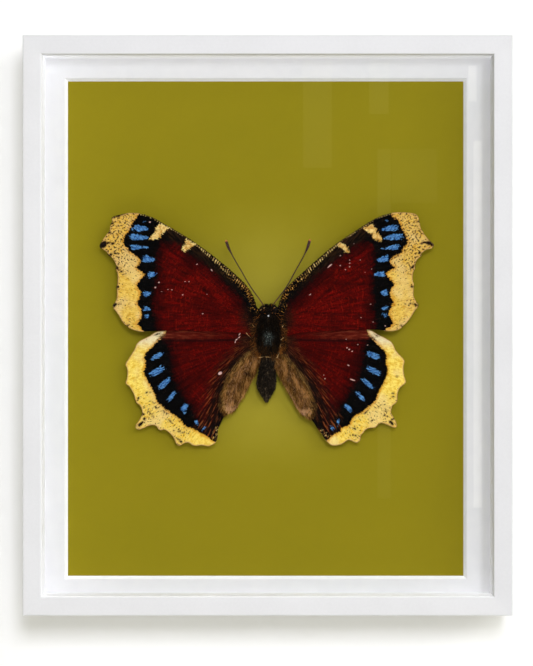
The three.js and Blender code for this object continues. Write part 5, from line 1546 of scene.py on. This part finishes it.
for name in ("key", "side"):
    lightOnly(lamps[name], boardPieces, "EXCLUDE")
for name, look in boardLights.items():
    lamp = bpy.data.lights.new(name, "SUN")
    lamp.energy = look["strength"]
    lamp.color = look["tint"]
    lamp.angle = look.get("soft", 0.1)
    lamp.use_shadow = "soft" in look
    holder = bpy.data.objects.new(name, lamp)
    holder.rotation_euler = Vector(look["towards"]).to_track_quat("-Z", "Y").to_euler()
    scene.collection.objects.link(holder)
    lightOnly(holder, [piece for piece in boardPieces + railPieces if piece.startswith(look["on"])], "INCLUDE")

panelLooks = {  # seen only in the glass: x, z and brightness
    "edgeStrip": {"x": (0.2, 0.208), "z": (-0.171, 0.184), "light": 1.0},
    "upperStrip": {"x": (0.195, 0.203), "z": (0.222, 0.257), "light": 1.0},
    "lintel": {"x": (0.035, 0.063), "z": (0.158, 0.262), "light": 0.22},
    "upperPane": {"x": (0.099, 0.118), "z": (0.21, 0.262), "light": 0.26},
    "sidePane": {"x": (0.107, 0.12), "z": (0.112, 0.176), "light": 0.22},
    "widePane": {"x": (0.121, 0.165), "z": (0.124, 0.176), "light": 0.12},
    "lowerPane": {"x": (0.107, 0.12), "z": (-0.162, -0.09), "light": 0.16}}


def makePanel(name):
    look = panelLooks[name]
    lamp = bpy.data.lights.new(name, "AREA")
    lamp.shape = "RECTANGLE"
    lamp.size = look["x"][1] - look["x"][0]
    lamp.size_y = look["z"][1] - look["z"][0]
    lamp.energy = look["light"] * math.pi * lamp.size * lamp.size_y
    lamp.color = (1.0, 0.95, 0.8) if look["light"] > 0.5 else (1.0, 0.98, 0.4)
    holder = bpy.data.objects.new(name, lamp)
    holder.location = (sum(look["x"]) / 2, -2.0, centreHeight + sum(look["z"]) / 2)
    holder.rotation_euler = (math.pi / 2, 0, 0)
    holder.visible_camera = False
    holder.visible_diffuse = False
    scene.collection.objects.link(holder)


for name in panelLooks:
    makePanel(name)


def makeRoom():
    world = bpy.data.worlds.new("room")
    scene.world = world
    world.use_nodes = True
    tree = world.node_tree
    tree.nodes.clear()
    path = add(tree, "LightPath").outputs
    seen = calc(tree, "MULTIPLY", path["Is Camera Ray"], room["seen"])
    shiny = calc(tree, "MAXIMUM", path["Is Glossy Ray"], path["Is Transmission Ray"])
    across = add(tree, "SeparateXYZ", {0: add(tree, "TexCoord").outputs["Generated"]}).outputs
    around = calc(tree, "MULTIPLY_ADD", fade(tree, across["Y"], -0.5, 0.1), room["mirroredRound"], room["mirrored"])
    mirrored = calc(tree, "MULTIPLY", shiny, around)
    rest = calc(tree, "SUBTRACT", 1.0, calc(tree, "MAXIMUM", path["Is Camera Ray"], shiny))
    strength = calc(tree, "MULTIPLY_ADD", rest, room["diffuse"], calc(tree, "ADD", seen, mirrored))
    colour = mix(tree, path["Is Camera Ray"], (*room["tint"], 1), (1, 1, 1, 1))
    light = add(tree, "Background", {"Color": colour, "Strength": strength})
    output = add(tree, "OutputWorld")
    tree.links.new(light.outputs[0], output.inputs["Surface"])
    scene.view_settings.view_transform = "Standard"


makeRoom()

cameraLooks = {"at": (-0.00028, -0.722, -0.05332), "lens": 150.0, "sensor": 36.0}
camera = bpy.data.cameras.new("camera")
camera.lens = cameraLooks["lens"]
camera.sensor_width = cameraLooks["sensor"]
viewer = bpy.data.objects.new("camera", camera)
viewer.location = cameraLooks["at"]
viewer.rotation_euler = (math.pi / 2, 0, 0)
scene.collection.objects.link(viewer)
scene.camera = viewer
print("stage, lights and camera made")
